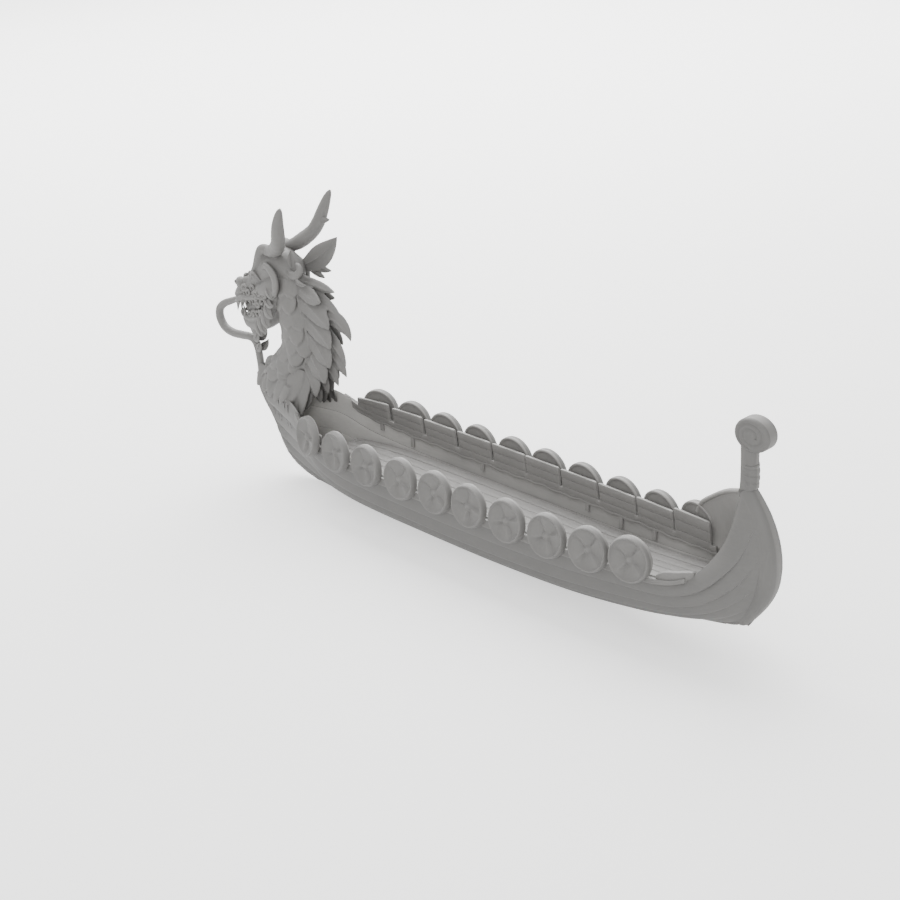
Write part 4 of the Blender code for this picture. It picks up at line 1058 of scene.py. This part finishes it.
def build_mane():
    bm = bmesh.new()
    # the saddle on the nape that the leaves grow from
    rings = []
    for i in range(41):
        v = 0.99 - 0.90 * i / 40
        ring = []
        for k in range(13):
            share = -1.0 + 2.0 * k / 12
            p, out, down, sideways = neck_frame(v, math.pi + SADDLE_ARC * share)
            stand = 0.010 + SADDLE_OUT * (1.0 - abs(share)) ** 0.8 + 0.012 * math.sin(i * 1.3) * (1 - abs(share))
            ring.append(p + out * stand)
        for share in (1.0, 0.0, -1.0):
            p, out, down, sideways = neck_frame(v, math.pi + SADDLE_ARC * share)
            ring.append(p - out * 0.04)
        rings.append(ring)
    add_rings(bm, rings)
    for rx, rz, bx, bz, tx, tz, wide, y0, y1 in MANE_LEAVES:
        for sign in ((1.0, -1.0) if y0 > 0 else (1.0,)):
            root = (rx, y0 * sign, rz)
            bend = (bx, (y0 + y1) * 0.575 * sign, bz)
            tip = (tx, y1 * sign, tz)
            tilt = Vector((0.0, 1.0, 0.35 * sign if y0 > 0 else 0.0)).normalized()
            broad = wide * (1.45 if y0 > 0 else 1.15)
            add_leaf(bm, root, bend, tip, broad, 0.20, tilt, root_share=0.85, full=0.48)
    # a rounded welt along each side where the mane meets the scales
    for sign in (1.0, -1.0):
        welt = []
        for i in range(48):
            t = i / 47
            p, out, down, sideways = neck_frame(0.90 - 0.76 * t, math.pi - WELT_ARC)
            q = p + out * 0.034
            thick = 0.020 + 0.026 * math.sin(math.pi * t)
            welt.append((q.x, q.y * sign, q.z, thick, thick))
        add_rings(bm, tube_rings(welt, 10))
    place_mesh("flame_mane", fused("mane_skin", bm, 0.021, 8), CARVED_WOOD, ("mane",), 60.0)


# Scales that hang over the bow planks: place up the neck, length, lift, number around, pointedness
SKIRT_ROWS = [(0.165, 0.50, 0.060, 0.00, 9, 0.25), (0.100, 0.42, 0.090, 0.02, 9, 0.45)]
# Scales over the sheer at the bow: place along the sheer, height of the root over it, length, width
SHEER_SCALES = [
    (0.10, 0.36, 0.50, 0.46), (0.62, 0.40, 0.56, 0.54), (1.16, 0.40, 0.56, 0.56), (1.70, 0.38, 0.56, 0.52),
    (2.16, 0.30, 0.44, 0.40),
]
# Long scales that hang outside the foot of the neck: root, tip, width and pointedness, for the port side
HANGING = [
    ((-5.16, -0.20, 2.06), (-5.02, -0.49, 1.12), 0.48, 0.8), ((-5.36, -0.26, 2.12), (-5.42, -0.48, 1.28), 0.54, 0.5),
    ((-5.26, -0.22, 1.95), (-5.24, -0.48, 1.06), 0.46, 0.7), ((-5.70, -0.26, 2.06), (-5.84, -0.44, 1.30), 0.54, 0.4), ((-6.07, -0.20, 2.04), (-6.33, -0.37, 1.28), 0.52, 0.3),
]
# Ridges down the bow planks: place along the sheer and how far down they reach
RIDGES = [(0.86, 0.50), (1.22, 0.46), (1.47, 0.40), (2.10, 0.62), (2.42, 0.55)]


def build_skirt():
    # pointed scales that hang over the bow planks round the foot of the neck
    bm = bmesh.new()
    for row, (v, long, lift, stand, around, pointed) in enumerate(SKIRT_ROWS):
        for k in range(around):
            a = 2 * math.pi * (k + 0.5 * (row % 2)) / around
            if abs(a - math.pi) < 0.30:
                continue
            p, out, down, sideways = neck_frame(v, a)
            out = (out + Vector((0, 0, 0.10))).normalized()
            add_scale(bm, p + out * stand, out, down, sideways, 0.46, long, lift, pointed)
    for s, high, long, wide in SHEER_SCALES:
        n = level_normal(s)
        edge = hull_off(s, 1.0, plank_off(STRAKES - 1, 1.0) + PLANK_T)
        for _, sign in SIDES:
            out = Vector((n.x, n.y * sign, 0.30)).normalized()
            down = (Vector((0, 0, -1.0)) - out * (-out.z)).normalized()
            sideways = out.cross(down).normalized()
            root = Vector((edge.x, edge.y * sign, edge.z + high - long * 0.25)) - out * 0.03
            add_scale(bm, root, out, down, sideways, wide, long, 0.070, 0.55)
    for root, tip, wide, pointed in HANGING:
        for _, sign in SIDES:
            top = Vector((root[0], -root[1] * sign, root[2]))
            fall = Vector((tip[0], -tip[1] * sign, tip[2])) - top
            down = fall.normalized()
            out = Vector((0, sign, 0.2))
            out = (out - down * out.dot(down)).normalized()
            sideways = out.cross(down).normalized()
            add_scale(bm, top + fall * 0.25, out, down, sideways, wide, fall.length, 0.050, pointed)
    for _, sign in SIDES:
        # small tufts at the throat
        add_leaf(bm, (-6.28, 0.10 * sign, 2.10), (-6.62, 0.13 * sign, 2.02), (-6.74, 0.10 * sign, 1.76), 0.20, 0.10)
        add_leaf(bm, (-6.40, 0.06 * sign, 1.92), (-6.70, 0.08 * sign, 1.86), (-6.86, 0.06 * sign, 1.62), 0.18, 0.09)
    for place, low in RIDGES:
        for _, sign in SIDES:
            rows = []
            for k in range(17):
                f = 1.0 - (1.0 - low) * k / 16
                p = hull_off(place - 1.1 * (1.0 - f), f, 0.066)
                thick = 0.022 - 0.014 * k / 16
                rows.append((p.x, p.y * sign, p.z, thick, thick))
            add_rings(bm, tube_rings(rows, 10))
    skin = fused("skirt_skin", bm, 0.020, 4)
    return place_mesh("neck_skirt", skin, CARVED_WOOD, (), 60.0)


HORN_ROWS = [
    (-6.10, 0.24, 4.66, 0.06, 0.08),
    (-5.98, 0.26, 4.70, 0.09, 0.10),
    (-5.74, 0.29, 4.76, 0.12, 0.13),
    (-5.50, 0.36, 4.90, 0.135, 0.145),
    (-5.29, 0.48, 5.09, 0.125, 0.135),
    (-5.16, 0.56, 5.30, 0.122, 0.132),
    (-5.06, 0.62, 5.55, 0.108, 0.118),
    (-4.95, 0.66, 5.80, 0.080, 0.088),
    (-4.87, 0.68, 5.95, 0.052, 0.056),
    (-4.82, 0.69, 6.03, 0.016, 0.018),
]
TINE_ROWS = [
    (-5.14, 0.57, 5.36, 0.090, 0.100),
    (-4.92, 0.57, 5.38, 0.060, 0.075),
    (-4.76, 0.565, 5.41, 0.030, 0.036),
    (-4.68, 0.56, 5.43, 0.006, 0.008),
]


# How much thicker each horn is than the table, how far its barb stands out, and its share of the height
HORN_LOOK = {"port": (1.22, 0.40, 0.91), "starboard": (1.14, 0.80, 1.0)}


def horn_ripple(t, a):
    # growth rings, strongest near the foot
    return 1.0 + 0.012 * math.sin(t * 95.0 + 0.8 * math.cos(a)) * (1.0 - t) ** 0.6


def build_horns():
    for side, sign in SIDES:
        bm = bmesh.new()
        thick, barb, tall = HORN_LOOK[side]
        rows = [(r[0], r[1], min(r[2], 4.9 + (r[2] - 4.9) * tall), r[3] * thick, r[4] * thick) for r in HORN_ROWS]
        add_rings(bm, tube_rings(denser(rows, 110), 26, bump=horn_ripple), flip=sign)
        root = TINE_ROWS[0]
        rows = [[a + (b - a) * barb for a, b in zip(root[:3], r[:3])] + [r[3], r[4]] for r in TINE_ROWS]
        add_rings(bm, tube_rings(denser(rows, 20), 16), flip=sign)
        place_bm("carved_horn_" + side, bm, CARVED_WOOD, ("horn_" + side,), 50.0)


def add_blob(bm, centre, radii, pitch=0.0, flip=1.0):
    # an ellipsoid, pitched about the boat's cross axis
    c = Vector((centre[0], centre[1] * flip, centre[2]))
    turn = Matrix.Rotation(math.radians(pitch), 4, 'Y')
    size = Matrix.Diagonal((radii[0], radii[1], radii[2], 1.0))
    bmesh.ops.create_icosphere(bm, subdivisions=3, radius=1.0, matrix=Matrix.Translation(c) @ turn @ size)


# Head forms. Tubes are rows of x, y, z, half width, half height; side tubes are mirrored
HEAD_CORE = [
    (-5.18, 0.0, 4.24, 0.10, 0.12), (-5.36, 0.0, 4.26, 0.25, 0.28), (-5.62, 0.0, 4.32, 0.33, 0.38),
    (-5.92, 0.0, 4.34, 0.35, 0.40), (-6.20, 0.0, 4.22, 0.35, 0.40), (-6.50, 0.0, 3.98, 0.31, 0.33),
    (-6.80, 0.0, 3.76, 0.28, 0.25), (-7.10, 0.0, 3.62, 0.26, 0.20), (-7.38, 0.0, 3.46, 0.23, 0.16),
    (-7.60, 0.0, 3.32, 0.13, 0.09),
]
BROW = [
    (-5.72, 0.22, 4.62, 0.07, 0.08), (-5.98, 0.28, 4.74, 0.10, 0.11), (-6.16, 0.30, 4.70, 0.10, 0.12),
    (-6.30, 0.30, 4.50, 0.09, 0.11), (-6.44, 0.28, 4.28, 0.08, 0.09), (-6.62, 0.25, 4.10, 0.06, 0.07),
    (-6.80, 0.20, 3.98, 0.04, 0.05),
]
UPPER_LIP = [
    (-6.20, 0.30, 3.60, 0.05, 0.06), (-6.50, 0.31, 3.54, 0.06, 0.07), (-6.85, 0.29, 3.46, 0.06, 0.07),
    (-7.15, 0.26, 3.40, 0.06, 0.06), (-7.40, 0.20, 3.26, 0.06, 0.06), (-7.58, 0.08, 3.18, 0.05, 0.05),
]
CHEEK = [
    (-5.70, 0.22, 4.02, 0.14, 0.20), (-5.95, 0.28, 3.88, 0.15, 0.22), (-6.20, 0.30, 3.78, 0.12, 0.18),
    (-6.48, 0.29, 3.74, 0.07, 0.10),
]
HINGE = [
    (-5.82, 0.22, 3.80, 0.12, 0.18), (-6.00, 0.25, 3.50, 0.13, 0.17), (-6.22, 0.26, 3.22, 0.10, 0.14),
]
JAW_CORE = [
    (-5.95, 0.0, 3.46, 0.20, 0.15), (-6.22, 0.0, 3.16, 0.26, 0.19), (-6.55, 0.0, 2.92, 0.27, 0.19),
    (-6.90, 0.0, 2.79, 0.24, 0.19), (-7.20, 0.0, 2.77, 0.19, 0.16), (-7.42, 0.0, 2.83, 0.10, 0.10),
]
LOWER_LIP = [
    (-6.20, 0.26, 3.30, 0.05, 0.06), (-6.50, 0.27, 3.08, 0.06, 0.06), (-6.85, 0.24, 2.96, 0.06, 0.06),
    (-7.15, 0.20, 2.92, 0.05, 0.06), (-7.38, 0.12, 2.96, 0.05, 0.05), (-7.47, 0.03, 2.98, 0.04, 0.05),
]
TONGUE = [
    (-6.10, 0.0, 3.40, 0.22, 0.20), (-6.60, 0.0, 3.27, 0.23, 0.22), (-6.95, 0.0, 3.18, 0.20, 0.20),
    (-7.20, 0.0, 3.16, 0.13, 0.12), (-7.36, 0.0, 3.24, 0.05, 0.04),
]
# Teeth: x, y, z of the root, x and z of the point, half thickness at the root
UPPER_TEETH = [
    (-6.42, 0.29, 3.52, -6.45, 3.36, 0.034), (-6.60, 0.29, 3.50, -6.64, 3.30, 0.038),
    (-6.78, 0.285, 3.46, -6.83, 3.24, 0.040), (-6.96, 0.27, 3.42, -7.02, 3.22, 0.040),
    (-7.14, 0.255, 3.38, -7.22, 3.08, 0.052), (-7.30, 0.225, 3.30, -7.36, 3.12, 0.036),
    (-7.44, 0.16, 3.22, -7.50, 2.98, 0.046), (-7.54, 0.07, 3.16, -7.58, 3.02, 0.030),
]
LOWER_TEETH = [
    (-6.45, 0.26, 3.12, -6.44, 3.28, 0.032), (-6.62, 0.26, 3.03, -6.62, 3.20, 0.034),
    (-6.80, 0.24, 2.98, -6.82, 3.14, 0.034), (-6.98, 0.22, 2.96, -7.02, 3.18, 0.038),
    (-7.16, 0.19, 2.95, -7.22, 3.22, 0.044), (-7.32, 0.13, 2.97, -7.40, 3.15, 0.034),
]
# Leafy tufts of cheek and chin: root, bend and tip as x, y, z, then width
TUFTS = [
    ((-6.18, 0.30, 3.62), (-5.92, 0.44, 3.46), (-5.74, 0.44, 3.54), 0.20),
    ((-6.20, 0.30, 3.48), (-5.98, 0.46, 3.26), (-5.80, 0.44, 3.24), 0.26),
    ((-6.28, 0.30, 3.36), (-6.12, 0.46, 3.06), (-5.96, 0.44, 2.96), 0.28),
    ((-6.44, 0.27, 3.18), (-6.34, 0.42, 2.92), (-6.16, 0.40, 2.78), 0.28),
    ((-6.62, 0.22, 2.98), (-6.58, 0.34, 2.76), (-6.40, 0.34, 2.64), 0.24),
    ((-6.05, 0.34, 3.96), (-5.86, 0.46, 3.78), (-5.72, 0.46, 3.68), 0.20),
]
# Curls of snout, lips and mouth corner: x, y, z, size and the turn that they start at
CURLS = [
    (-7.18, 0.20, 3.56, 0.085, 200), (-7.00, 0.25, 3.64, 0.095, 20), (-6.82, 0.27, 3.60, 0.100, 130),
    (-6.66, 0.28, 3.72, 0.090, 260), (-6.52, 0.31, 3.58, 0.105, 60), (-6.36, 0.32, 3.70, 0.100, 180),
    (-6.24, 0.33, 3.50, 0.110, 310), (-6.44, 0.31, 3.40, 0.105, 90), (-6.62, 0.29, 3.44, 0.085, 220),
    (-6.80, 0.27, 3.42, 0.080, 350), (-6.98, 0.25, 3.46, 0.080, 110), (-7.12, 0.23, 3.38, 0.075, 240),
    (-6.10, 0.34, 3.68, 0.100, 30), (-6.30, 0.33, 3.24, 0.100, 150), (-6.50, 0.31, 3.16, 0.090, 280),
    (-6.70, 0.28, 3.10, 0.085, 40), (-6.88, 0.26, 3.08, 0.075, 170), (-7.32, 0.17, 3.64, 0.070, 300),
    (-7.04, 0.14, 3.86, 0.080, 70), (-6.84, 0.16, 3.98, 0.075, 330),
]
# Crescent frill behind the cheek: x, y, z, half width, half height
FRILL = [
    (-6.14, 0.33, 4.32, 0.04, 0.05), (-5.92, 0.39, 4.40, 0.06, 0.08), (-5.70, 0.42, 4.30, 0.07, 0.10),
    (-5.60, 0.43, 4.12, 0.07, 0.11), (-5.64, 0.42, 3.92, 0.065, 0.10), (-5.78, 0.38, 3.74, 0.05, 0.07),
    (-5.94, 0.32, 3.66, 0.03, 0.04),
]
EAR_LEAF = ((-5.42, 0.24, 4.36), (-4.96, 0.40, 4.50), (-4.55, 0.55, 5.07))
ROLLED_EAR = [
    (-5.40, -0.20, 4.34, 0.05, 0.07), (-5.20, -0.26, 4.29, 0.07, 0.09), (-5.02, -0.27, 4.33, 0.08, 0.09),
    (-4.92, -0.26, 4.44, 0.07, 0.08), (-4.96, -0.24, 4.55, 0.05, 0.05), (-5.06, -0.23, 4.57, 0.02, 0.02),
]


def add_cone(bm, root, tip, radius, flip):
    rows = []
    for i in range(7):
        t = i / 6
        r = radius * (1.0 - t) ** 0.75
        p = Vector(root).lerp(Vector(tip), t)
        rows.append((p.x, p.y, p.z, max(r, 0.003), max(r, 0.003)))
    add_rings(bm, tube_rings(rows, 9), flip=flip)


def add_curl(bm, x, y, z, size, start, flip):
    # a small carved spiral that stands off the cheek
    rows = []
    for i in range(13):
        t = i / 12
        a = math.radians(start + 400.0 * t)
        r = size * (1.0 - 0.75 * t)
        thick = size * (0.50 - 0.22 * t)
        rows.append((x + math.cos(a) * r, y + 0.05 * t * size / 0.1, z + math.sin(a) * r, thick, thick))
    add_rings(bm, tube_rings(rows, 9), flip=flip)


def build_head():
    bm = bmesh.new()
    add_rings(bm, tube_rings(denser(HEAD_CORE, 26), 22))
    for _, sign in SIDES:
        for rows in (BROW, UPPER_LIP, CHEEK, HINGE):
            add_rings(bm, tube_rings(denser(rows, 20), 14), flip=sign)
        add_blob(bm, (-7.20, 0.19, 3.74), (0.15, 0.12, 0.12), 20.0, sign)
        add_blob(bm, (-6.98, 0.17, 3.82), (0.12, 0.09, 0.09), 20.0, sign)
        add_blob(bm, (-6.46, 0.27, 4.04), (0.15, 0.11, 0.13), 25.0, sign)
        add_blob(bm, (-6.72, 0.22, 3.86), (0.13, 0.08, 0.07), 25.0, sign)
    for x, z, r in ((-6.62, 4.02, 0.09), (-6.84, 3.93, 0.08), (-7.04, 3.84, 0.07), (-6.40, 4.30, 0.10)):
        add_blob(bm, (x, 0.0, z), (r * 1.2, r, r), 25.0)
    place_mesh("carved_head", fused("head_skin", bm, 0.022, 5), CARVED_WOOD, ("head",), 60.0)

    bm = bmesh.new()
    add_rings(bm, tube_rings(denser(JAW_CORE, 20), 20))
    add_blob(bm, (-7.20, 0.0, 2.72), (0.20, 0.16, 0.14))
    add_blob(bm, (-6.98, 0.0, 2.60), (0.24, 0.16, 0.18))
    for _, sign in SIDES:
        add_rings(bm, tube_rings(denser(LOWER_LIP, 20), 12), flip=sign)
    place_mesh("carved_jaw", fused("jaw_skin", bm, 0.022, 5), CARVED_WOOD, ("lower_jaw",), 60.0)

    bm = bmesh.new()
    add_rings(bm, tube_rings(denser(TONGUE, 24), 14))
    for _, sign in SIDES:
        for table in (UPPER_TEETH, LOWER_TEETH):
            for x, y, z, tx, tz, r in table:
                add_cone(bm, (x, y, z), (tx, y * 0.97, tz), r, sign)
    place_bm("teeth_and_tongue", bm, CARVED_WOOD, (), 50.0)

    bm = bmesh.new()
    for _, sign in SIDES:
        for root, bend, tip, wide in TUFTS:
            look = Vector((0.25, 1.0, 0.15)).normalized()
            add_leaf(bm, root, bend, tip, wide, 0.10, look, steps=12, flip=sign)
        for x, y, z, size, start in CURLS:
            add_curl(bm, x, y, z, size, start, sign)
        add_rings(bm, tube_rings(denser(FRILL, 36), 14), flip=sign)
        # eyeball with a heavy lid
        add_blob(bm, (-6.47, 0.335, 4.05), (0.085, 0.060, 0.080), 0.0, sign)
        lid = [(-6.60, 0.33, 3.98, 0.018, 0.022), (-6.54, 0.375, 4.09, 0.024, 0.028), (-6.45, 0.385, 4.14, 0.026, 0.030),
               (-6.36, 0.365, 4.09, 0.024, 0.028), (-6.30, 0.32, 3.98, 0.016, 0.020)]
        add_rings(bm, tube_rings(denser(lid, 18), 10), flip=sign)
        # nostril rim
        ring = []
        for i in range(25):
            a = 2 * math.pi * i / 24
            ring.append((-7.24 + math.cos(a) * 0.065, 0.285 + 0.012 * math.sin(a), 3.745 + math.sin(a) * 0.050, 0.018, 0.018))
        add_rings(bm, tube_rings(ring[:-1], 8), flip=sign)
    place_bm("face_details", bm, CARVED_WOOD, (), 45.0)


def build_ears():
    # the starboard ear stands up; on the port side only the frill is left
    root, bend, tip = EAR_LEAF
    bm = bmesh.new()
    look = Vector((0.45, -0.85, 0.30)).normalized()
    add_leaf(bm, root, bend, tip, 0.52, 0.10, look, steps=20, root_share=0.45, full=0.45)
    add_leaf(bm, (-5.20, 0.32, 4.36), (-4.90, 0.40, 4.30), (-4.66, 0.42, 4.32), 0.16, 0.07, look)
    add_leaf(bm, (-5.30, 0.30, 4.30), (-5.00, 0.36, 4.18), (-4.84, 0.36, 4.14), 0.14, 0.07, look)
    # to port only a small rolled ear and a spike beside it
    add_rings(bm, tube_rings(denser(ROLLED_EAR, 34), 16))
    add_leaf(bm, (-5.30, -0.16, 4.42), (-5.36, -0.14, 4.60), (-5.34, -0.12, 4.80), 0.16, 0.10, Vector((0.6, -0.8, 0)))
    add_leaf(bm, (-5.16, -0.24, 4.26), (-4.98, -0.30, 4.12), (-4.74, -0.26, 4.16), 0.20, 0.09, Vector((0, 1, 0.3)))
    place_bm("ear_leaf", bm, CARVED_WOOD, ("ear_starboard", "ear_port"), 40.0)


WHISKER_ROWS = [
    (-7.050, 0.0, 1.541, 0.078, 0.088),
    (-7.050, 0.0, 1.80, 0.082, 0.088),
    (-7.11, 0.0, 2.18, 0.086, 0.088),
    (-7.28, 0.0, 2.33, 0.092, 0.092),
    (-7.65, 0.0, 2.31, 0.096, 0.096),
    (-8.00, 0.0, 2.29, 0.098, 0.098),
    (-8.30, 0.0, 2.36, 0.098, 0.098),
    (-8.46, 0.0, 2.56, 0.098, 0.098),
    (-8.44, 0.0, 2.78, 0.096, 0.096),
    (-8.25, 0.0, 2.95, 0.090, 0.090),
    (-7.95, 0.0, 3.08, 0.080, 0.080),
    (-7.66, 0.0, 3.20, 0.066, 0.066),
    (-7.50, 0.0, 3.30, 0.052, 0.052),
]


def build_whisker():
    bm = bmesh.new()
    add_rings(bm, tube_rings(denser(WHISKER_ROWS, 96), 18))
    # leaves where the whisker turns off its stalk
    for sign in (1.0, -1.0):
        add_leaf(bm, (-7.14, 0.05 * sign, 2.34), (-6.92, 0.12 * sign, 2.40), (-6.84, 0.12 * sign, 2.62), 0.22, 0.12)
        add_leaf(bm, (-7.10, 0.05 * sign, 2.10), (-6.88, 0.10 * sign, 2.16), (-6.82, 0.12 * sign, 2.36), 0.20, 0.11)
    place_bm("long_whisker", bm, CARVED_WOOD, ("whisker",), 40.0)


build_neck()
build_mane()
build_skirt()
build_horns()
build_head()
build_ears()
build_whisker()

# Backbone


def tinted(node, mat):
    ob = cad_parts[node]
    ob.data.materials.clear()
    ob.data.materials.append(mat)


# the ribs and foredeck take the lighter inner finish, whose paleness is painted light
for node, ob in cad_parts.items():
    if node.startswith("rib") or node == "foredeck":
        tinted(node, LIT_INNER_WOOD)
    if node == "stem":
        tinted(node, POST_WOOD)
    if node == "keel":
        tinted(node, HULL_WOOD)

# Stage: pale floor under the keel, soft studio light, and the photograph's view
FLOOR_Z = cad_box[0][2] - 0.002


def build_stage():
    bm = bmesh.new()
    bmesh.ops.create_grid(bm, x_segments=1, y_segments=1, size=400.0)
    mesh = bpy.data.meshes.new("studio_floor")
    bm.to_mesh(mesh)
    bm.free()
    floor = bpy.data.objects.new("studio_floor", mesh)
    floor.location = (0, 0, FLOOR_Z)
    bpy.context.scene.collection.objects.link(floor)
    m = bpy.data.materials.new("floor_paint")
    m.use_nodes = True
    p = m.node_tree.nodes["Principled BSDF"]
    p.inputs["Base Color"].default_value = (0.50, 0.50, 0.497, 1.0)
    # painted light: the floor glows with its own light, which washes out the hull's shadow on it and lights the hull
    # from below
    p.inputs["Emission Color"].default_value = (1.0, 1.0, 0.995, 1.0)
    p.inputs["Emission Strength"].default_value = 0.95
    p.inputs["Roughness"].default_value = 0.9
    p.inputs["Specular IOR Level"].default_value = 0.1
    mesh.materials.append(m)

    world = bpy.data.worlds.new("studio")
    bpy.context.scene.world = world
    world.use_nodes = True
    back = world.node_tree.nodes["Background"]
    back.inputs["Color"].default_value = (1.0, 1.0, 0.995, 1.0)
    back.inputs["Strength"].default_value = 1.50

    for name, spot, aim, energy, size in (
        ("key_light", (-8.0, -10.0, 24.0), (0, 0, 0.5), 2600.0, 9.0),
        ("front_light", (38.0, -40.0, 26.0), (0, 0, 0.5), 24000.0, 22.0),
        ("far_light", (-44.0, 39.0, 40.0), (-44.0, 39.0, 0), 260000.0, 80.0),
    ):
        lamp = bpy.data.lights.new(name, 'AREA')
        lamp.energy = energy
        lamp.size = size
        ob = bpy.data.objects.new(name, lamp)
        bpy.context.scene.collection.objects.link(ob)
        ob.location = spot
        ob.rotation_euler = (Vector(aim) - Vector(spot)).to_track_quat('-Z', 'Y').to_euler()


build_stage()


def build_camera():
    data = bpy.data.cameras.new("view")
    data.lens = 67.18
    data.sensor_width = 36.0
    data.sensor_fit = 'HORIZONTAL'
    data.clip_end = 2000.0
    ob = bpy.data.objects.new("view", data)
    bpy.context.scene.collection.objects.link(ob)
    azimuth = math.radians(47.78)
    elevation = math.radians(23.63)
    roll = math.radians(-3.44)
    back = Vector((math.sin(azimuth) * math.cos(elevation), -math.cos(azimuth) * math.cos(elevation),
                   math.sin(elevation)))
    right = Vector((math.cos(azimuth), math.sin(azimuth), 0.0))
    up = back.cross(right)
    right_r = right * math.cos(roll) + up * math.sin(roll)
    up_r = up * math.cos(roll) - right * math.sin(roll)
    turn = Matrix((right_r, up_r, back)).transposed().to_4x4()
    ob.matrix_world = Matrix.Translation((22.752, -21.323, 15.205)) @ turn
    bpy.context.scene.camera = ob


build_camera()
